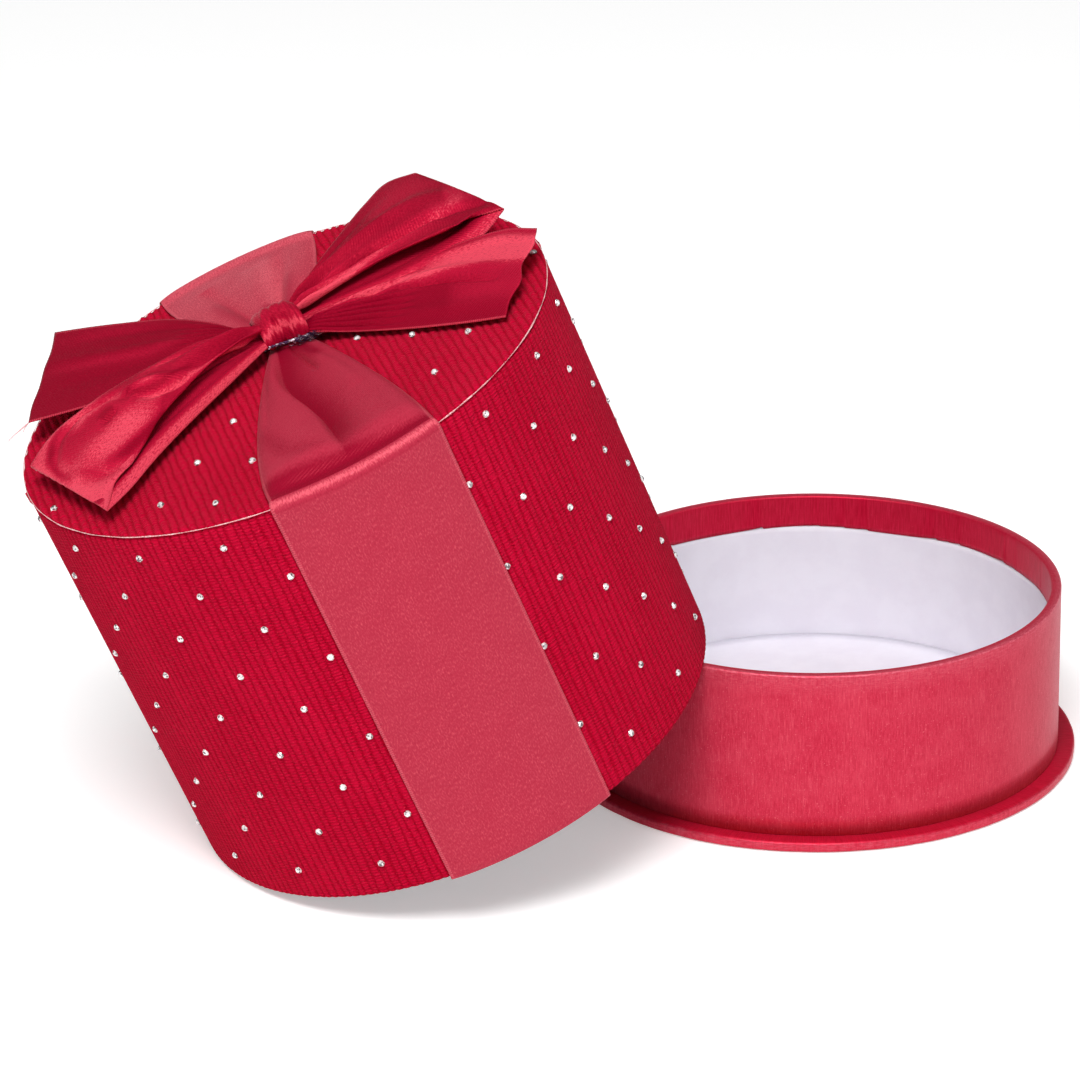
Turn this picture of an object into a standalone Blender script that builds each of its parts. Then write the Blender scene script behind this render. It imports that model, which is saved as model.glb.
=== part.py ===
# Round gift box, opened: a low base with a neck, and a tall corduroy cover with a satin bow.
# The cover stands beside the base on its mouth edge and leans over the neck's rim.
# Metres, +Z up. The origin is the centre of the base's underside.
import math

import bmesh
import bpy
import numpy as np
from mathutils import Matrix

# Base
plate_diameter = 0.150
plate_board = 0.0018
plate_turn_in = 0.013
neck_diameter = 0.1406
neck_height = 0.0505  # from the table to the neck's top
neck_board = 0.0018
neck_turn_in = 0.010
floor_board = 0.0028
paper = 0.00025

# Cover
cover_diameter = 0.150
cover_height = 0.121
cover_board = 0.0016
top_board = 0.0018
fabric = 0.0009
fabric_turn_in = 0.012

# Between neighbours
glue_gap = 0.0003
rest_gap = 0.0004
merge_distance = 0.00001

# How the open box stands
lean_heading = math.radians(-156.4)  # from the base's centre to the cover's
contact_angle = math.radians(34.4)  # between the uphill side and each touching point
ribbon_turn = math.radians(83.0)  # from the downhill side to the ribbon's front

# Stones, on a staggered square grid
stone_pitch = 0.01295
stone_diameter = 0.0020
stone_height = 0.0008
stone_sink = 0.0003
first_row_height = 0.010
first_column_arc = 0.0118  # from the ribbon's front, around the wall
top_grid_turn = math.radians(-3.5)
top_grid_along = 0.0052
top_grid_across = 0.0208

# Satin ribbon
ribbon_width = 0.048
satin = 0.0004
ribbon_turn_in = 0.008
back_turn = math.radians(175.4)  # heading of the rear half, from the front half
gather_width = 0.009
gather_bulge = 1.57  # how early the gathered ribbon spreads
gather_flat_share = 0.16  # of the way from the knot to the rim, under the bow
front_puff = 0.0034  # how high its gathered cloth stands on each side of its crease
front_crease_share = -0.10  # the crease's place across the ribbon, from -1 to 1
rear_puff = 0.0022
rear_crease_share = 0.15

# Bow, in the cover's own axes: X towards the ribbon's front, Y to its left seen from above
knot_along = -0.009
knot_across = 0.0045
knot_half_width = 0.006
knot_thickness = 0.0006
knot_waist_share = 0.06  # how much wider its open ends are than its middle
knot_squareness = 0.4  # exponent of its rounded outline
wire_diameter = 0.0008
loop_pinch = 0.0046  # between a loop's layers where the knot holds them
bow_rise = 0.0125
left_loop_heading = math.radians(-70.2)
left_loop_reach = 0.0748
left_loop_slant_share = -0.05  # how much longer a sheet's rear edge is than its front one
right_loop_heading = math.radians(104.5)
right_loop_reach = 0.0625
right_loop_slant_share = -0.07
left_tail_heading = math.radians(-121.5)
left_tail_reach = 0.0718
left_tail_slant_share = 0.11
right_tail_heading = math.radians(60.0)
right_tail_reach = 0.0702
right_tail_slant_share = 0.07
nose_squareness = 0.4  # exponent of a loop's rounded nose

# Each sheet's edges are shares of the ribbon's width, and its heights are shares of the bow's rise
along_shares = (0.0, 0.1, 0.3, 0.5, 0.7, 0.88, 1.0)
left_loop_shares = {
    "back_edge": (-0.05, -0.06, -0.18, -0.30, -0.44, -0.52, -0.48),
    "front_edge": (0.05, 0.06, 0.10, 0.17, 0.28, 0.42, 0.51),
    "top_back": (0.0, 0.0, 0.22, 0.24, 0.10, -0.12, -0.30),
    "top_middle": (0.0, 0.0, 0.26, 0.28, 0.14, -0.08, -0.28),
    "top_front": (0.0, -0.06, -0.22, -0.22, -0.22, -0.26, -0.32),
    "low_back": (0.0, -0.02, -0.06, -0.10, -0.14, -0.12, -0.04),
    "low_front": (0.0, -0.04, -0.14, -0.18, -0.18, -0.14, -0.04),
}
right_loop_shares = {
    "back_edge": (-0.05, -0.06, -0.12, -0.22, -0.36, -0.46, -0.42),
    "front_edge": (0.05, 0.06, 0.15, 0.27, 0.38, 0.47, 0.50),
    "top_back": (0.0, 0.0, 0.24, 0.38, 0.40, 0.36, 0.26),
    "top_middle": (0.0, 0.0, 0.26, 0.42, 0.44, 0.34, 0.20),
    "top_front": (0.0, -0.02, 0.04, 0.12, 0.12, 0.08, 0.02),
    "low_back": (0.0, 0.0, 0.14, 0.26, 0.38, 0.46, 0.52),
    "low_front": (0.0, 0.0, 0.10, 0.18, 0.24, 0.28, 0.32),
}
left_tail_shares = {
    "back_edge": (-0.05, -0.06, -0.24, -0.36, -0.42, -0.47, -0.50),
    "front_edge": (0.05, 0.06, 0.14, 0.26, 0.38, 0.46, 0.50),
    "back": (0.0, 0.0, 0.12, 0.24, 0.30, 0.32, 0.32),
    "middle": (0.0, 0.0, 0.10, 0.18, 0.22, 0.24, 0.26),
    "front": (0.0, 0.0, -0.04, 0.04, 0.14, 0.24, 0.30),
}
right_tail_shares = {
    "back_edge": (-0.05, -0.06, -0.20, -0.36, -0.47, -0.47, -0.39),
    "front_edge": (0.05, 0.06, 0.11, 0.20, 0.28, 0.34, 0.37),
    "back": (0.0, 0.0, 0.04, 0.08, 0.12, 0.14, 0.14),
    "middle": (0.0, 0.0, 0.12, 0.20, 0.26, 0.28, 0.28),
    "front": (0.0, 0.0, -0.16, -0.19, -0.20, -0.20, -0.20),
}

# Fineness
segments = 60
across_steps = 6
loop_steps = 26
tail_steps = 10
knot_steps = 22
knot_samples = 8  # places between two rows of a sheet where its width inside the knot is read
gather_steps = 9

# Sizes that follow from those above
plate_radius = plate_diameter / 2
plate_top = 2 * paper + 2 * glue_gap + plate_board
neck_radius = neck_diameter / 2
neck_board_radius = neck_radius - paper - glue_gap
neck_inside = neck_board_radius - neck_board
neck_lining_radius = neck_inside - glue_gap
neck_foot = plate_top + glue_gap
floor_top = neck_foot + floor_board
cover_radius = cover_diameter / 2
cover_board_radius = cover_radius - fabric - glue_gap
cover_inside = cover_board_radius - cover_board
cover_lining_radius = cover_inside - glue_gap
mouth_radius = cover_lining_radius - fabric
top_board_high = cover_height - fabric - glue_gap
top_board_low = top_board_high - top_board
ribbon_offset = glue_gap + satin / 2
ribbon_half_angle = ribbon_width / 2 / cover_radius

# Heights of what the knot stacks, above the top fabric
wire_low = glue_gap + wire_diameter / 2
gather_level = wire_low + wire_diameter / 2 + glue_gap + satin / 2
knot_low = gather_level + satin / 2 + glue_gap + knot_thickness / 2
wire_high = knot_low + knot_thickness / 2 + glue_gap + wire_diameter / 2
tail_level = wire_high + wire_diameter / 2 + glue_gap + satin / 2
loop_low_level = tail_level + satin + glue_gap
loop_top_level = loop_low_level + loop_pinch
knot_high = loop_top_level + satin / 2 + glue_gap + knot_thickness / 2


def clear_scene():
    for existing in list(bpy.data.objects):
        bpy.data.objects.remove(existing, do_unlink=True)


def finish(name, colour, roughness, metallic=0.0):
    material = bpy.data.materials.new(name)
    material.use_nodes = True
    shader = material.node_tree.nodes["Principled BSDF"]
    shader.inputs["Base Color"].default_value = (*colour, 1.0)
    shader.inputs["Roughness"].default_value = roughness
    shader.inputs["Metallic"].default_value = metallic
    material.diffuse_color = (*colour, 1.0)
    return material


def add_object(name, data, material, parent):
    data.materials.append(material)
    piece = bpy.data.objects.new(name, data)
    piece.parent = parent
    bpy.context.scene.collection.objects.link(piece)
    return piece


def add_mesh(name, bm, material, parent):
    mesh = bpy.data.meshes.new(name)
    bm.to_mesh(mesh)
    bm.free()
    mesh.shade_smooth()
    mesh.set_sharp_from_angle(angle=math.radians(35))
    return add_object(name, mesh, material, parent)


def turned(name, outline, material, parent):
    # A closed outline of (radius, height) points, spun around the upright axis
    bm = bmesh.new()
    corners = [bm.verts.new((radius, 0, height)) for radius, height in outline]
    edges = []
    for one, other in zip(corners, corners[1:] + corners[:1]):
        if one.co.x > 0 or other.co.x > 0:
            edges.append(bm.edges.new((one, other)))
    bmesh.ops.spin(bm, geom=corners + edges, cent=(0, 0, 0), axis=(0, 0, 1),
                   angle=math.tau, steps=segments, use_merge=True)
    bmesh.ops.remove_doubles(bm, verts=bm.verts, dist=merge_distance)
    bmesh.ops.recalc_face_normals(bm, faces=bm.faces)
    return add_mesh(name, bm, material, parent)


def disc(name, radius, low, high, material, parent):
    return turned(name, [(0, low), (radius, low), (radius, high), (0, high)], material, parent)


def tube(name, inner, outer, low, high, material, parent):
    return turned(name, [(inner, low), (outer, low), (outer, high), (inner, high)], material, parent)


def sheet(name, points, thickness, material, parent, closed=False):
    # A grid of points as a surface, given its thickness on both sides
    rows, columns = points.shape[:2]
    faces = []
    for row in range(rows if closed else rows - 1):
        following = (row + 1) % rows
        for column in range(columns - 1):
            faces.append((row * columns + column, row * columns + column + 1,
                          following * columns + column + 1, following * columns + column))
    mesh = bpy.data.meshes.new(name)
    mesh.from_pydata(points.reshape(-1, 3).tolist(), [], faces)
    mesh.shade_smooth()
    piece = add_object(name, mesh, material, parent)
    body = piece.modifiers.new("thickness", "SOLIDIFY")
    body.thickness = thickness
    body.offset = 0
    return piece


def smooth(at, places, values):
    # Cubic through a table's points, with slopes taken from their neighbours
    places = np.asarray(places)
    values = np.asarray(values)
    slopes = np.gradient(values, places)
    left = np.clip(np.searchsorted(places, at) - 1, 0, len(places) - 2)
    span = places[left + 1] - places[left]
    t = (at - places[left]) / span
    return ((2 * t ** 3 - 3 * t ** 2 + 1) * values[left] + (t ** 3 - 2 * t ** 2 + t) * span * slopes[left]
            + (3 * t ** 2 - 2 * t ** 3) * values[left + 1] + (t ** 3 - t ** 2) * span * slopes[left + 1])


def lean():
    # The mouth edge touches the neck's top edge at two points, each the contact angle from the uphill side
    sine = neck_height / (cover_radius + mouth_radius * math.cos(contact_angle))
    tilt = math.asin(sine)
    reach = mouth_radius * math.cos(contact_angle) * math.cos(tilt)
    reach += math.sqrt(neck_radius ** 2 - (mouth_radius * math.sin(contact_angle)) ** 2) + rest_gap
    place = Matrix.Rotation(lean_heading, 4, "Z") @ Matrix.Translation((reach, 0, cover_radius * sine))
    return place @ Matrix.Rotation(tilt, 4, "Y") @ Matrix.Rotation(ribbon_turn, 4, "Z")


def build_base(parent):
    red = finish("base_paper_red", (0.60, 0.04, 0.10), 0.45)
    white = finish("lining_paper_white", (0.80, 0.78, 0.84), 0.8)
    grey = finish("greyboard_base", (0.42, 0.40, 0.36), 0.9)
    plate_low = paper + glue_gap
    wrap_low = plate_low + plate_board + glue_gap
    wrap_inner = plate_radius - paper
    turn_in_radius = plate_radius - plate_turn_in
    disc("base_plate_board", wrap_inner - glue_gap, plate_low, plate_low + plate_board, grey, parent)
    turned("base_plate_wrap", [
        (0, plate_top), (0, wrap_low), (wrap_inner, wrap_low), (wrap_inner, paper),
        (turn_in_radius, paper), (turn_in_radius, 0), (plate_radius, 0), (plate_radius, plate_top),
    ], red, parent)
    disc("base_underside_paper", turn_in_radius - glue_gap, 0, paper, white, parent)
    board_top = neck_height - paper - glue_gap
    tube("neck_tube_board", neck_inside, neck_board_radius, neck_foot, board_top, grey, parent)
    turned("neck_wrap_paper", [
        (neck_radius, neck_foot), (neck_radius, neck_height), (neck_lining_radius - paper, neck_height),
        (neck_lining_radius - paper, neck_height - neck_turn_in),
        (neck_lining_radius, neck_height - neck_turn_in), (neck_lining_radius, neck_height - paper),
        (neck_radius - paper, neck_height - paper), (neck_radius - paper, neck_foot),
    ], red, parent)
    tube("neck_lining_paper", neck_lining_radius - paper, neck_lining_radius, neck_foot,
         neck_height - neck_turn_in - glue_gap, white, parent)
    disc("inner_floor_board", neck_lining_radius - paper - glue_gap, neck_foot, floor_top, white, parent)


def build_cover_shell(parent):
    corduroy = finish("corduroy_red", (0.48, 0.003, 0.02), 0.85)
    white = finish("cover_lining_white", (0.80, 0.78, 0.84), 0.8)
    grey = finish("greyboard_cover", (0.42, 0.40, 0.36), 0.9)
    tube("cover_tube_board", cover_inside, cover_board_radius, fabric + glue_gap, top_board_low - glue_gap,
         grey, parent)
    disc("cover_top_board", cover_board_radius, top_board_low, top_board_high, grey, parent)
    lining_top = top_board_low - glue_gap - paper
    tube("cover_lining_paper", cover_lining_radius - paper, cover_lining_radius, fabric_turn_in + glue_gap,
         lining_top - glue_gap, white, parent)
    disc("cover_top_lining", cover_lining_radius, lining_top, lining_top + paper, white, parent)
    wall = turned("cover_fabric_wall", [
        (cover_radius, top_board_high), (cover_radius, 0), (mouth_radius, 0), (mouth_radius, fabric_turn_in),
        (cover_lining_radius, fabric_turn_in), (cover_lining_radius, fabric),
        (cover_radius - fabric, fabric), (cover_radius - fabric, top_board_high),
    ], corduroy, parent)
    top = disc("cover_fabric_top", cover_radius, cover_height - fabric, cover_height, corduroy, parent)
    return wall, top


def gather_half_width(share):
    # Half of the ribbon's width on the top, from the knot (0) to the rim (1)
    spread = 1 - (1 - share) ** gather_bulge
    return gather_width / 2 * (1 - spread) + cover_radius * math.sin(ribbon_half_angle) * spread


def half_frame(heading):
    along = np.array((math.cos(heading), math.sin(heading)))
    across = np.array((-math.sin(heading), math.cos(heading)))
    return along, across


def puff_height(v, share, puff, crease_share):
    # A puff of cloth on each side of the crease, highest halfway from the knot to the rim
    side = np.where(v < crease_share, (v + 1) / (crease_share + 1), (1 - v) / (1 - crease_share))
    along = max(share - gather_flat_share, 0) / (1 - gather_flat_share)
    return puff * np.sin(math.pi * side) * math.sin(math.pi * along)


def half_wrap_points(heading, side, puff, crease_share):
    # One half of the wrap ribbon, from the knot to the end of its turn-in, row by row.
    # The side is 1 for the front half and -1 for the rear one, whose left and right are swapped.
    along, across = half_frame(heading)
    knot = np.array((knot_along, knot_across))
    v = np.linspace(-1, 1, across_steps + 3)
    angles = side * v * ribbon_half_angle
    rows = []
    for share in np.linspace(0, 1, gather_steps + 1):
        spread = 1 - (1 - share) ** gather_bulge
        forward = knot @ along + (cover_radius * np.cos(angles) - knot @ along) * share
        sideways = knot @ across * (1 - spread) + cover_radius * np.sin(angles) * spread
        flat = forward[:, None] * along + sideways[:, None] * across
        flat[:, 1] += v * gather_width / 2 * (1 - spread)
        level = ribbon_offset + (gather_level - ribbon_offset) * (1 - share) ** 2
        level = level + puff_height(v, share, puff, crease_share)
        rows.append(np.column_stack((flat, cover_height + level)))
    corners = [(cover_radius, cover_height, 1), (cover_radius, 0, 0), (mouth_radius, 0, -1)]
    path = []
    for radius, height, first in corners:
        for turn in (45, 90) if first == 1 else (0, 45, 90):
            angle = math.radians(90 * first - turn)
            path.append((radius + ribbon_offset * math.cos(angle), height + ribbon_offset * math.sin(angle)))
    path.append((mouth_radius - ribbon_offset, ribbon_turn_in))
    for radius, height in path:
        around = heading + angles
        rows.append(np.column_stack((radius * np.cos(around), radius * np.sin(around),
                                     np.full(len(v), height))))
    return np.array(rows)


def build_wrap_ribbon(parent):
    satin_red = finish("satin_wrap_red", (0.50, 0.03, 0.07), 0.35)
    front = half_wrap_points(0, 1, front_puff, front_crease_share)
    rear = half_wrap_points(back_turn, -1, rear_puff, rear_crease_share)
    points = np.concatenate((front[::-1], rear[1:]))
    return sheet("wrap_ribbon", points, satin, satin_red, parent)


def sheet_places(heading, reach, slant_share, shares, share_along, heights):
    # Points of a bow sheet: its edges run along the heading, and its height bends across it
    v = np.linspace(0, 1, across_steps + 1)
    along, across = half_frame(heading)
    if across[0] < 0:
        across = -across
    back = smooth(share_along, along_shares, shares["back_edge"]) * ribbon_width
    front = smooth(share_along, along_shares, shares["front_edge"]) * ribbon_width
    sideways = back[:, None] + (front - back)[:, None] * v
    low, middle, high = (height[:, None] for height in heights)
    level = low * (1 - v) * (1 - 2 * v) + middle * 4 * v * (1 - v) + high * v * (2 * v - 1)
    forward = glue_gap + share_along[:, None] * (reach - glue_gap) * (1 - slant_share * (v - 0.5))
    x = knot_along + forward * along[0] + sideways * across[0]
    y = knot_across + forward * along[1] + sideways * across[1]
    return np.stack((x, y, cover_height + level), axis=-1)


def loop_points(heading, reach, slant_share, shares):
    # Out along the upper layer and back along the lower one, with a creased nose between them
    turn = np.linspace(0, math.pi, loop_steps + 1)
    share_along = np.sin(turn)
    opening = np.sign(np.cos(turn)) * np.abs(np.cos(turn)) ** nose_squareness
    tables = {key: smooth(share_along, along_shares, shares[key]) * bow_rise
              for key in ("top_back", "top_middle", "top_front", "low_back", "low_front")}
    tops = [loop_top_level + tables[key] for key in ("top_back", "top_middle", "top_front")]
    lows = [loop_low_level + tables["low_back"],
            loop_low_level + (tables["low_back"] + tables["low_front"]) / 2,
            loop_low_level + tables["low_front"]]
    heights = [(top + low) / 2 + (top - low) / 2 * opening for top, low in zip(tops, lows)]
    return sheet_places(heading, reach, slant_share, shares, share_along, heights)


def tail_points(heading, reach, slant_share, shares):
    share_along = np.linspace(0, 1, tail_steps + 1)
    heights = [tail_level + smooth(share_along, along_shares, shares[key]) * bow_rise
               for key in ("back", "middle", "front")]
    return sheet_places(heading, reach, slant_share, shares, share_along, heights)


def knot_points(sheets):
    # A band around the gathered sheets: a squared ring, a little narrower at its middle
    reach = 0
    for points in sheets:
        for share in np.linspace(0, 1, knot_samples, endpoint=False):
            between = points[:-1] * (1 - share) + points[1:] * share
            inside = np.abs(between[..., 1] - knot_across) < knot_half_width + satin
            reach = max(reach, np.abs(between[..., 0] - knot_along)[inside].max())
    half_across = reach + satin / 2 + 2 * glue_gap + knot_thickness / 2
    middle = (knot_low + knot_high) / 2
    half_high = (knot_high - knot_low) / 2
    turn = np.linspace(0, math.tau, knot_steps, endpoint=False)
    cosine, sine = np.cos(turn), np.sin(turn)
    x = half_across * np.sign(cosine) * np.abs(cosine) ** knot_squareness
    z = half_high * np.sign(sine) * np.abs(sine) ** knot_squareness
    v = np.linspace(-1, 1, 5)
    flare = 1 + knot_waist_share * v ** 2
    y = np.broadcast_to(knot_half_width * v, (knot_steps, len(v)))
    return np.stack((knot_along + x[:, None] * flare, knot_across + y,
                     cover_height + middle + z[:, None] * np.ones(len(v))), axis=-1)


def build_bow(parent):
    satin_bow = finish("satin_bow_red", (0.52, 0.02, 0.06), 0.3)
    satin_tail = finish("satin_tail_red", (0.42, 0.005, 0.04), 0.35)
    satin_knot = finish("satin_knot_red", (0.48, 0.02, 0.06), 0.35)
    surfaces = {
        "bow_loop_left": loop_points(left_loop_heading, left_loop_reach, left_loop_slant_share,
                                     left_loop_shares),
        "bow_loop_right": loop_points(right_loop_heading, right_loop_reach, right_loop_slant_share,
                                      right_loop_shares),
        "bow_tail_left": tail_points(left_tail_heading, left_tail_reach, left_tail_slant_share,
                                     left_tail_shares),
        "bow_tail_right": tail_points(right_tail_heading, right_tail_reach, right_tail_slant_share,
                                      right_tail_shares),
    }
    for name, points in surfaces.items():
        sheet(name, points, satin, satin_bow if "loop" in name else satin_tail, parent)
    sheet("bow_knot", knot_points(surfaces.values()), knot_thickness, satin_knot, parent, closed=True)


def build_tie_wire(parent):
    # One wire: an end on the fabric, under the gathered ribbon, up, back over the knot's lower strand, and out
    side = knot_half_width + glue_gap + wire_diameter
    drop = (wire_high - wire_low) / 2
    stub = 2 * side
    route = [
        (stub / 2, side + stub / 2, wire_low), (stub / 4, side + stub / 4, wire_low), (0, side, wire_low),
        (0, side / 2, wire_low), (0, 0, wire_low), (0, -side / 2, wire_low), (0, -side + drop / 2, wire_low),
        (0, -side, wire_low + drop), (0, -side + drop / 2, wire_high), (0, -side / 2, wire_high),
        (0, 0, wire_high), (0, side / 2, wire_high), (0, side, wire_high),
        (stub / 4, side + stub / 8, wire_low + drop), (stub / 2, side + stub / 8, wire_low),
        (stub * 3 / 4, side + stub / 8, wire_low),
    ]
    places = np.arange(len(route))
    fine = np.linspace(0, len(route) - 1, 2 * len(route) - 1)
    curve = bpy.data.curves.new("bow_tie_wire", "CURVE")
    curve.dimensions = "3D"
    curve.bevel_depth = wire_diameter / 2
    curve.bevel_resolution = 1
    curve.use_fill_caps = True
    spline = curve.splines.new("POLY")
    spline.points.add(len(fine) - 1)
    axes = [smooth(fine, places, [point[axis] for point in route]) for axis in range(3)]
    for point, x, y, z in zip(spline.points, *axes):
        point.co = (knot_along + x, knot_across + y, cover_height + z, 1)
    tinsel = finish("tinsel_wire", (0.25, 0.22, 0.27), 0.3, 0.9)
    return add_object("bow_tie_wire", curve, tinsel, parent)


def under_ribbon(x, y):
    # Whether a stone at this place on the top would lie under the wrap ribbon or its knot
    place = np.array((x, y))
    knot = np.array((knot_along, knot_across))
    for heading in (0, back_turn):
        along, across = half_frame(heading)
        share = (place - knot) @ along / (cover_radius - knot @ along)
        if -knot_half_width / cover_radius < share <= 1:
            share = max(share, 0)
            middle = knot @ across * (1 - share) ** gather_bulge
            if abs(place @ across - middle) < gather_half_width(share) + stone_diameter:
                return True
    return False


def add_stone(bm, frame):
    # A six-sided stone, pointing along the frame's Z, its back sunk into the fabric
    tip = (stone_height - stone_sink) / 2
    bmesh.ops.create_cone(bm, cap_ends=True, segments=6, radius1=stone_diameter / 2, radius2=0,
                          depth=stone_height + stone_sink, matrix=frame @ Matrix.Translation((0, 0, tip)))


def set_stones(name, bm, glass, fabric_piece):
    # The stones are one body with the fabric that they are fixed to
    stones = add_mesh(name, bm, glass, fabric_piece.parent)
    stones.hide_render = True
    stones.display_type = "WIRE"
    union = fabric_piece.modifiers.new(name, "BOOLEAN")
    union.operation = "UNION"
    union.solver = "EXACT"
    union.material_mode = "TRANSFER"
    union.object = stones


def build_stones(wall_fabric, top_fabric):
    glass = finish("clear_stone", (0.82, 0.82, 0.84), 0.1)
    wall = bmesh.new()
    rows = int((cover_height - first_row_height) / stone_pitch) + 1
    column_angle = stone_pitch / cover_radius
    first_angle = first_column_arc / cover_radius
    columns = int(math.pi / column_angle)
    clear = ribbon_half_angle + stone_diameter / 4 / cover_radius
    for row in range(rows):
        for column in range(-columns, columns + 1):
            angle = first_angle + column * column_angle
            behind = math.remainder(angle - back_turn, math.tau)
            seam = math.pi - abs(angle)
            if (row + column) % 2 == 0 and min(abs(angle), abs(behind)) > clear and seam > 0:
                place = Matrix.Rotation(angle, 4, "Z") @ Matrix.Translation(
                    (cover_radius, 0, first_row_height + row * stone_pitch))
                add_stone(wall, place @ Matrix.Rotation(math.pi / 2, 4, "Y"))
    set_stones("wall_stones", wall, glass, wall_fabric)
    top = bmesh.new()
    count = int(cover_diameter / stone_pitch)
    for row in range(-count, count + 1):
        for column in range(-count, count + 1):
            if (row + column) % 2:
                continue
            place = Matrix.Rotation(top_grid_turn, 4, "Z") @ Matrix.Translation(
                (top_grid_along + row * stone_pitch, top_grid_across + column * stone_pitch, cover_height))
            x, y = place.translation.xy
            if math.hypot(x, y) < cover_radius - stone_diameter and not under_ribbon(x, y):
                add_stone(top, place)
    set_stones("top_stones", top, glass, top_fabric)


clear_scene()
base = bpy.data.objects.new("base_frame", None)
cover = bpy.data.objects.new("cover_frame", None)
cover.matrix_world = lean()
for holder in (base, cover):
    bpy.context.scene.collection.objects.link(holder)
build_base(base)
fabrics = build_cover_shell(cover)
build_wrap_ribbon(cover)
build_bow(cover)
build_tie_wire(cover)
build_stones(*fabrics)
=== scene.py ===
import math

import bmesh
import bpy
import numpy as np
from mathutils import Matrix, Vector


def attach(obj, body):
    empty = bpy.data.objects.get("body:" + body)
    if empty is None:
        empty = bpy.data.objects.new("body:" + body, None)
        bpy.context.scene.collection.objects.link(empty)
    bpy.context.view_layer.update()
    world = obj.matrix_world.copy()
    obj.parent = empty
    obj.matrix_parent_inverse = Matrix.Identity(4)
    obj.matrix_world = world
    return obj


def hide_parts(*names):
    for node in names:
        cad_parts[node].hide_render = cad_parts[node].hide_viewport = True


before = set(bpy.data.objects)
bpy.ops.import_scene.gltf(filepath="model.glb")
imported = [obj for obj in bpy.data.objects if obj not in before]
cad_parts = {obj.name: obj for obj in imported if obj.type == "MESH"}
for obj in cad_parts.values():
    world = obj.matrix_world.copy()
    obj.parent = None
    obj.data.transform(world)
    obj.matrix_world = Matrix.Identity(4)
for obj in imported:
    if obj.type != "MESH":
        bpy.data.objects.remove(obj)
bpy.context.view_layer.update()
print("frame loaded")

# Everything is in metres. The cover's pieces are shaped in its own upright axes, X towards the
# ribbon's front and Z from the mouth to the top, and then leaned over the neck's rim.

plate = {"radius": 0.0750, "top": 0.0029, "turnIn": 0.013, "corner": 0.0008}
neck = {"radius": 0.0703, "inside": 0.0674, "height": 0.0505, "foot": 0.0032, "turnIn": 0.010, "floor": 0.006}
cover = {"radius": 0.0750, "inside": 0.0714, "mouth": 0.0710, "height": 0.1210, "turnIn": 0.012,
         "liningTop": 0.11725, "topDrop": 0.0012, "innerBack": 0.0028, "innerFront": 0.0009}
liningOffset = 0.0001  # how far the linings and the floor disc reach past the inside radius of their tube
lean = {"heading": -156.4, "contact": 34.4, "ribbonTurn": 83.0, "gap": 0.0004}


# Shared shape helpers


def leanMatrix():
    # The mouth edge stands on the table and touches the neck's rim at two points, each the contact
    # angle from the uphill side, so the tilt follows from the neck's height
    contact = math.radians(lean["contact"])
    sine = neck["height"] / (cover["radius"] + cover["mouth"] * math.cos(contact))
    tilt = math.asin(sine)
    reach = cover["mouth"] * math.cos(contact) * math.cos(tilt) + lean["gap"]
    reach += math.sqrt(neck["radius"] ** 2 - (cover["mouth"] * math.sin(contact)) ** 2)
    turned = Matrix.Rotation(math.radians(lean["heading"]), 4, "Z")
    turned = turned @ Matrix.Translation((reach, 0, cover["radius"] * sine))
    return turned @ Matrix.Rotation(tilt, 4, "Y") @ Matrix.Rotation(math.radians(lean["ribbonTurn"]), 4, "Z")


leanPlace = np.array(leanMatrix())


def leaned(points):
    # Points of the upright cover, moved to where it leans
    return points @ leanPlace[:3, :3].T + leanPlace[:3, 3]


def tableCurve(at, places, values):
    # Cubic through a table's points, with slopes taken from their neighbours
    places = np.asarray(places, float)
    values = np.asarray(values, float)
    slopes = np.gradient(values, places)
    left = np.clip(np.searchsorted(places, at) - 1, 0, len(places) - 2)
    span = places[left + 1] - places[left]
    t = (at - places[left]) / span
    return ((2 * t ** 3 - 3 * t ** 2 + 1) * values[left] + (t ** 3 - 2 * t ** 2 + t) * span * slopes[left]
            + (3 * t ** 2 - 2 * t ** 3) * values[left + 1] + (t ** 3 - t ** 2) * span * slopes[left + 1])


def wander(at, seed, waves=5, first=1):
    # A smooth irregular curve between about -1 and 1: a few sine waves of random phase
    random = np.random.default_rng(seed)
    total = np.zeros_like(at, float)
    for wave in range(first, first + waves):
        total = total + random.uniform(-1, 1) * np.sin(wave * at + random.uniform(0, math.tau))
    return total / math.sqrt(waves)


def eased(value, start, full):
    # How far a value has come from its start to its full place, from 0 to 1
    return np.clip((value - start) / (full - start), 0, 1)


def headingAxes(degrees):
    # Unit steps on the cover's top, along a heading and square to it
    turn = math.radians(degrees)
    return np.array((math.cos(turn), math.sin(turn))), np.array((-math.sin(turn), math.cos(turn)))


def together(*parts):
    # Arrays of x, y and z, or of two pattern coordinates, as one array of places
    return np.stack(np.broadcast_arrays(*parts), axis=-1)


def turnedPoints(radii, angles, heights):
    # Places from their distance to the upright axis, their angle around it and their height
    return together(radii * np.cos(angles), radii * np.sin(angles), heights)


def lengthAlong(path):
    # The length from a path's start to each of its points
    return np.concatenate(([0], np.cumsum(np.linalg.norm(np.diff(path, axis=0), axis=1))))


def arcPoints(centreA, centreB, radius, startDegrees, endDegrees, steps):
    # Points on an arc in a flat pair of axes, as two arrays
    turn = np.radians(np.linspace(startDegrees, endDegrees, steps))
    return centreA + radius * np.cos(turn), centreB + radius * np.sin(turn)


def joined(*runs):
    # Several (a, b) runs of points one after another, as two arrays
    return tuple(np.concatenate([run[side] for run in runs]) for side in (0, 1))


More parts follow.
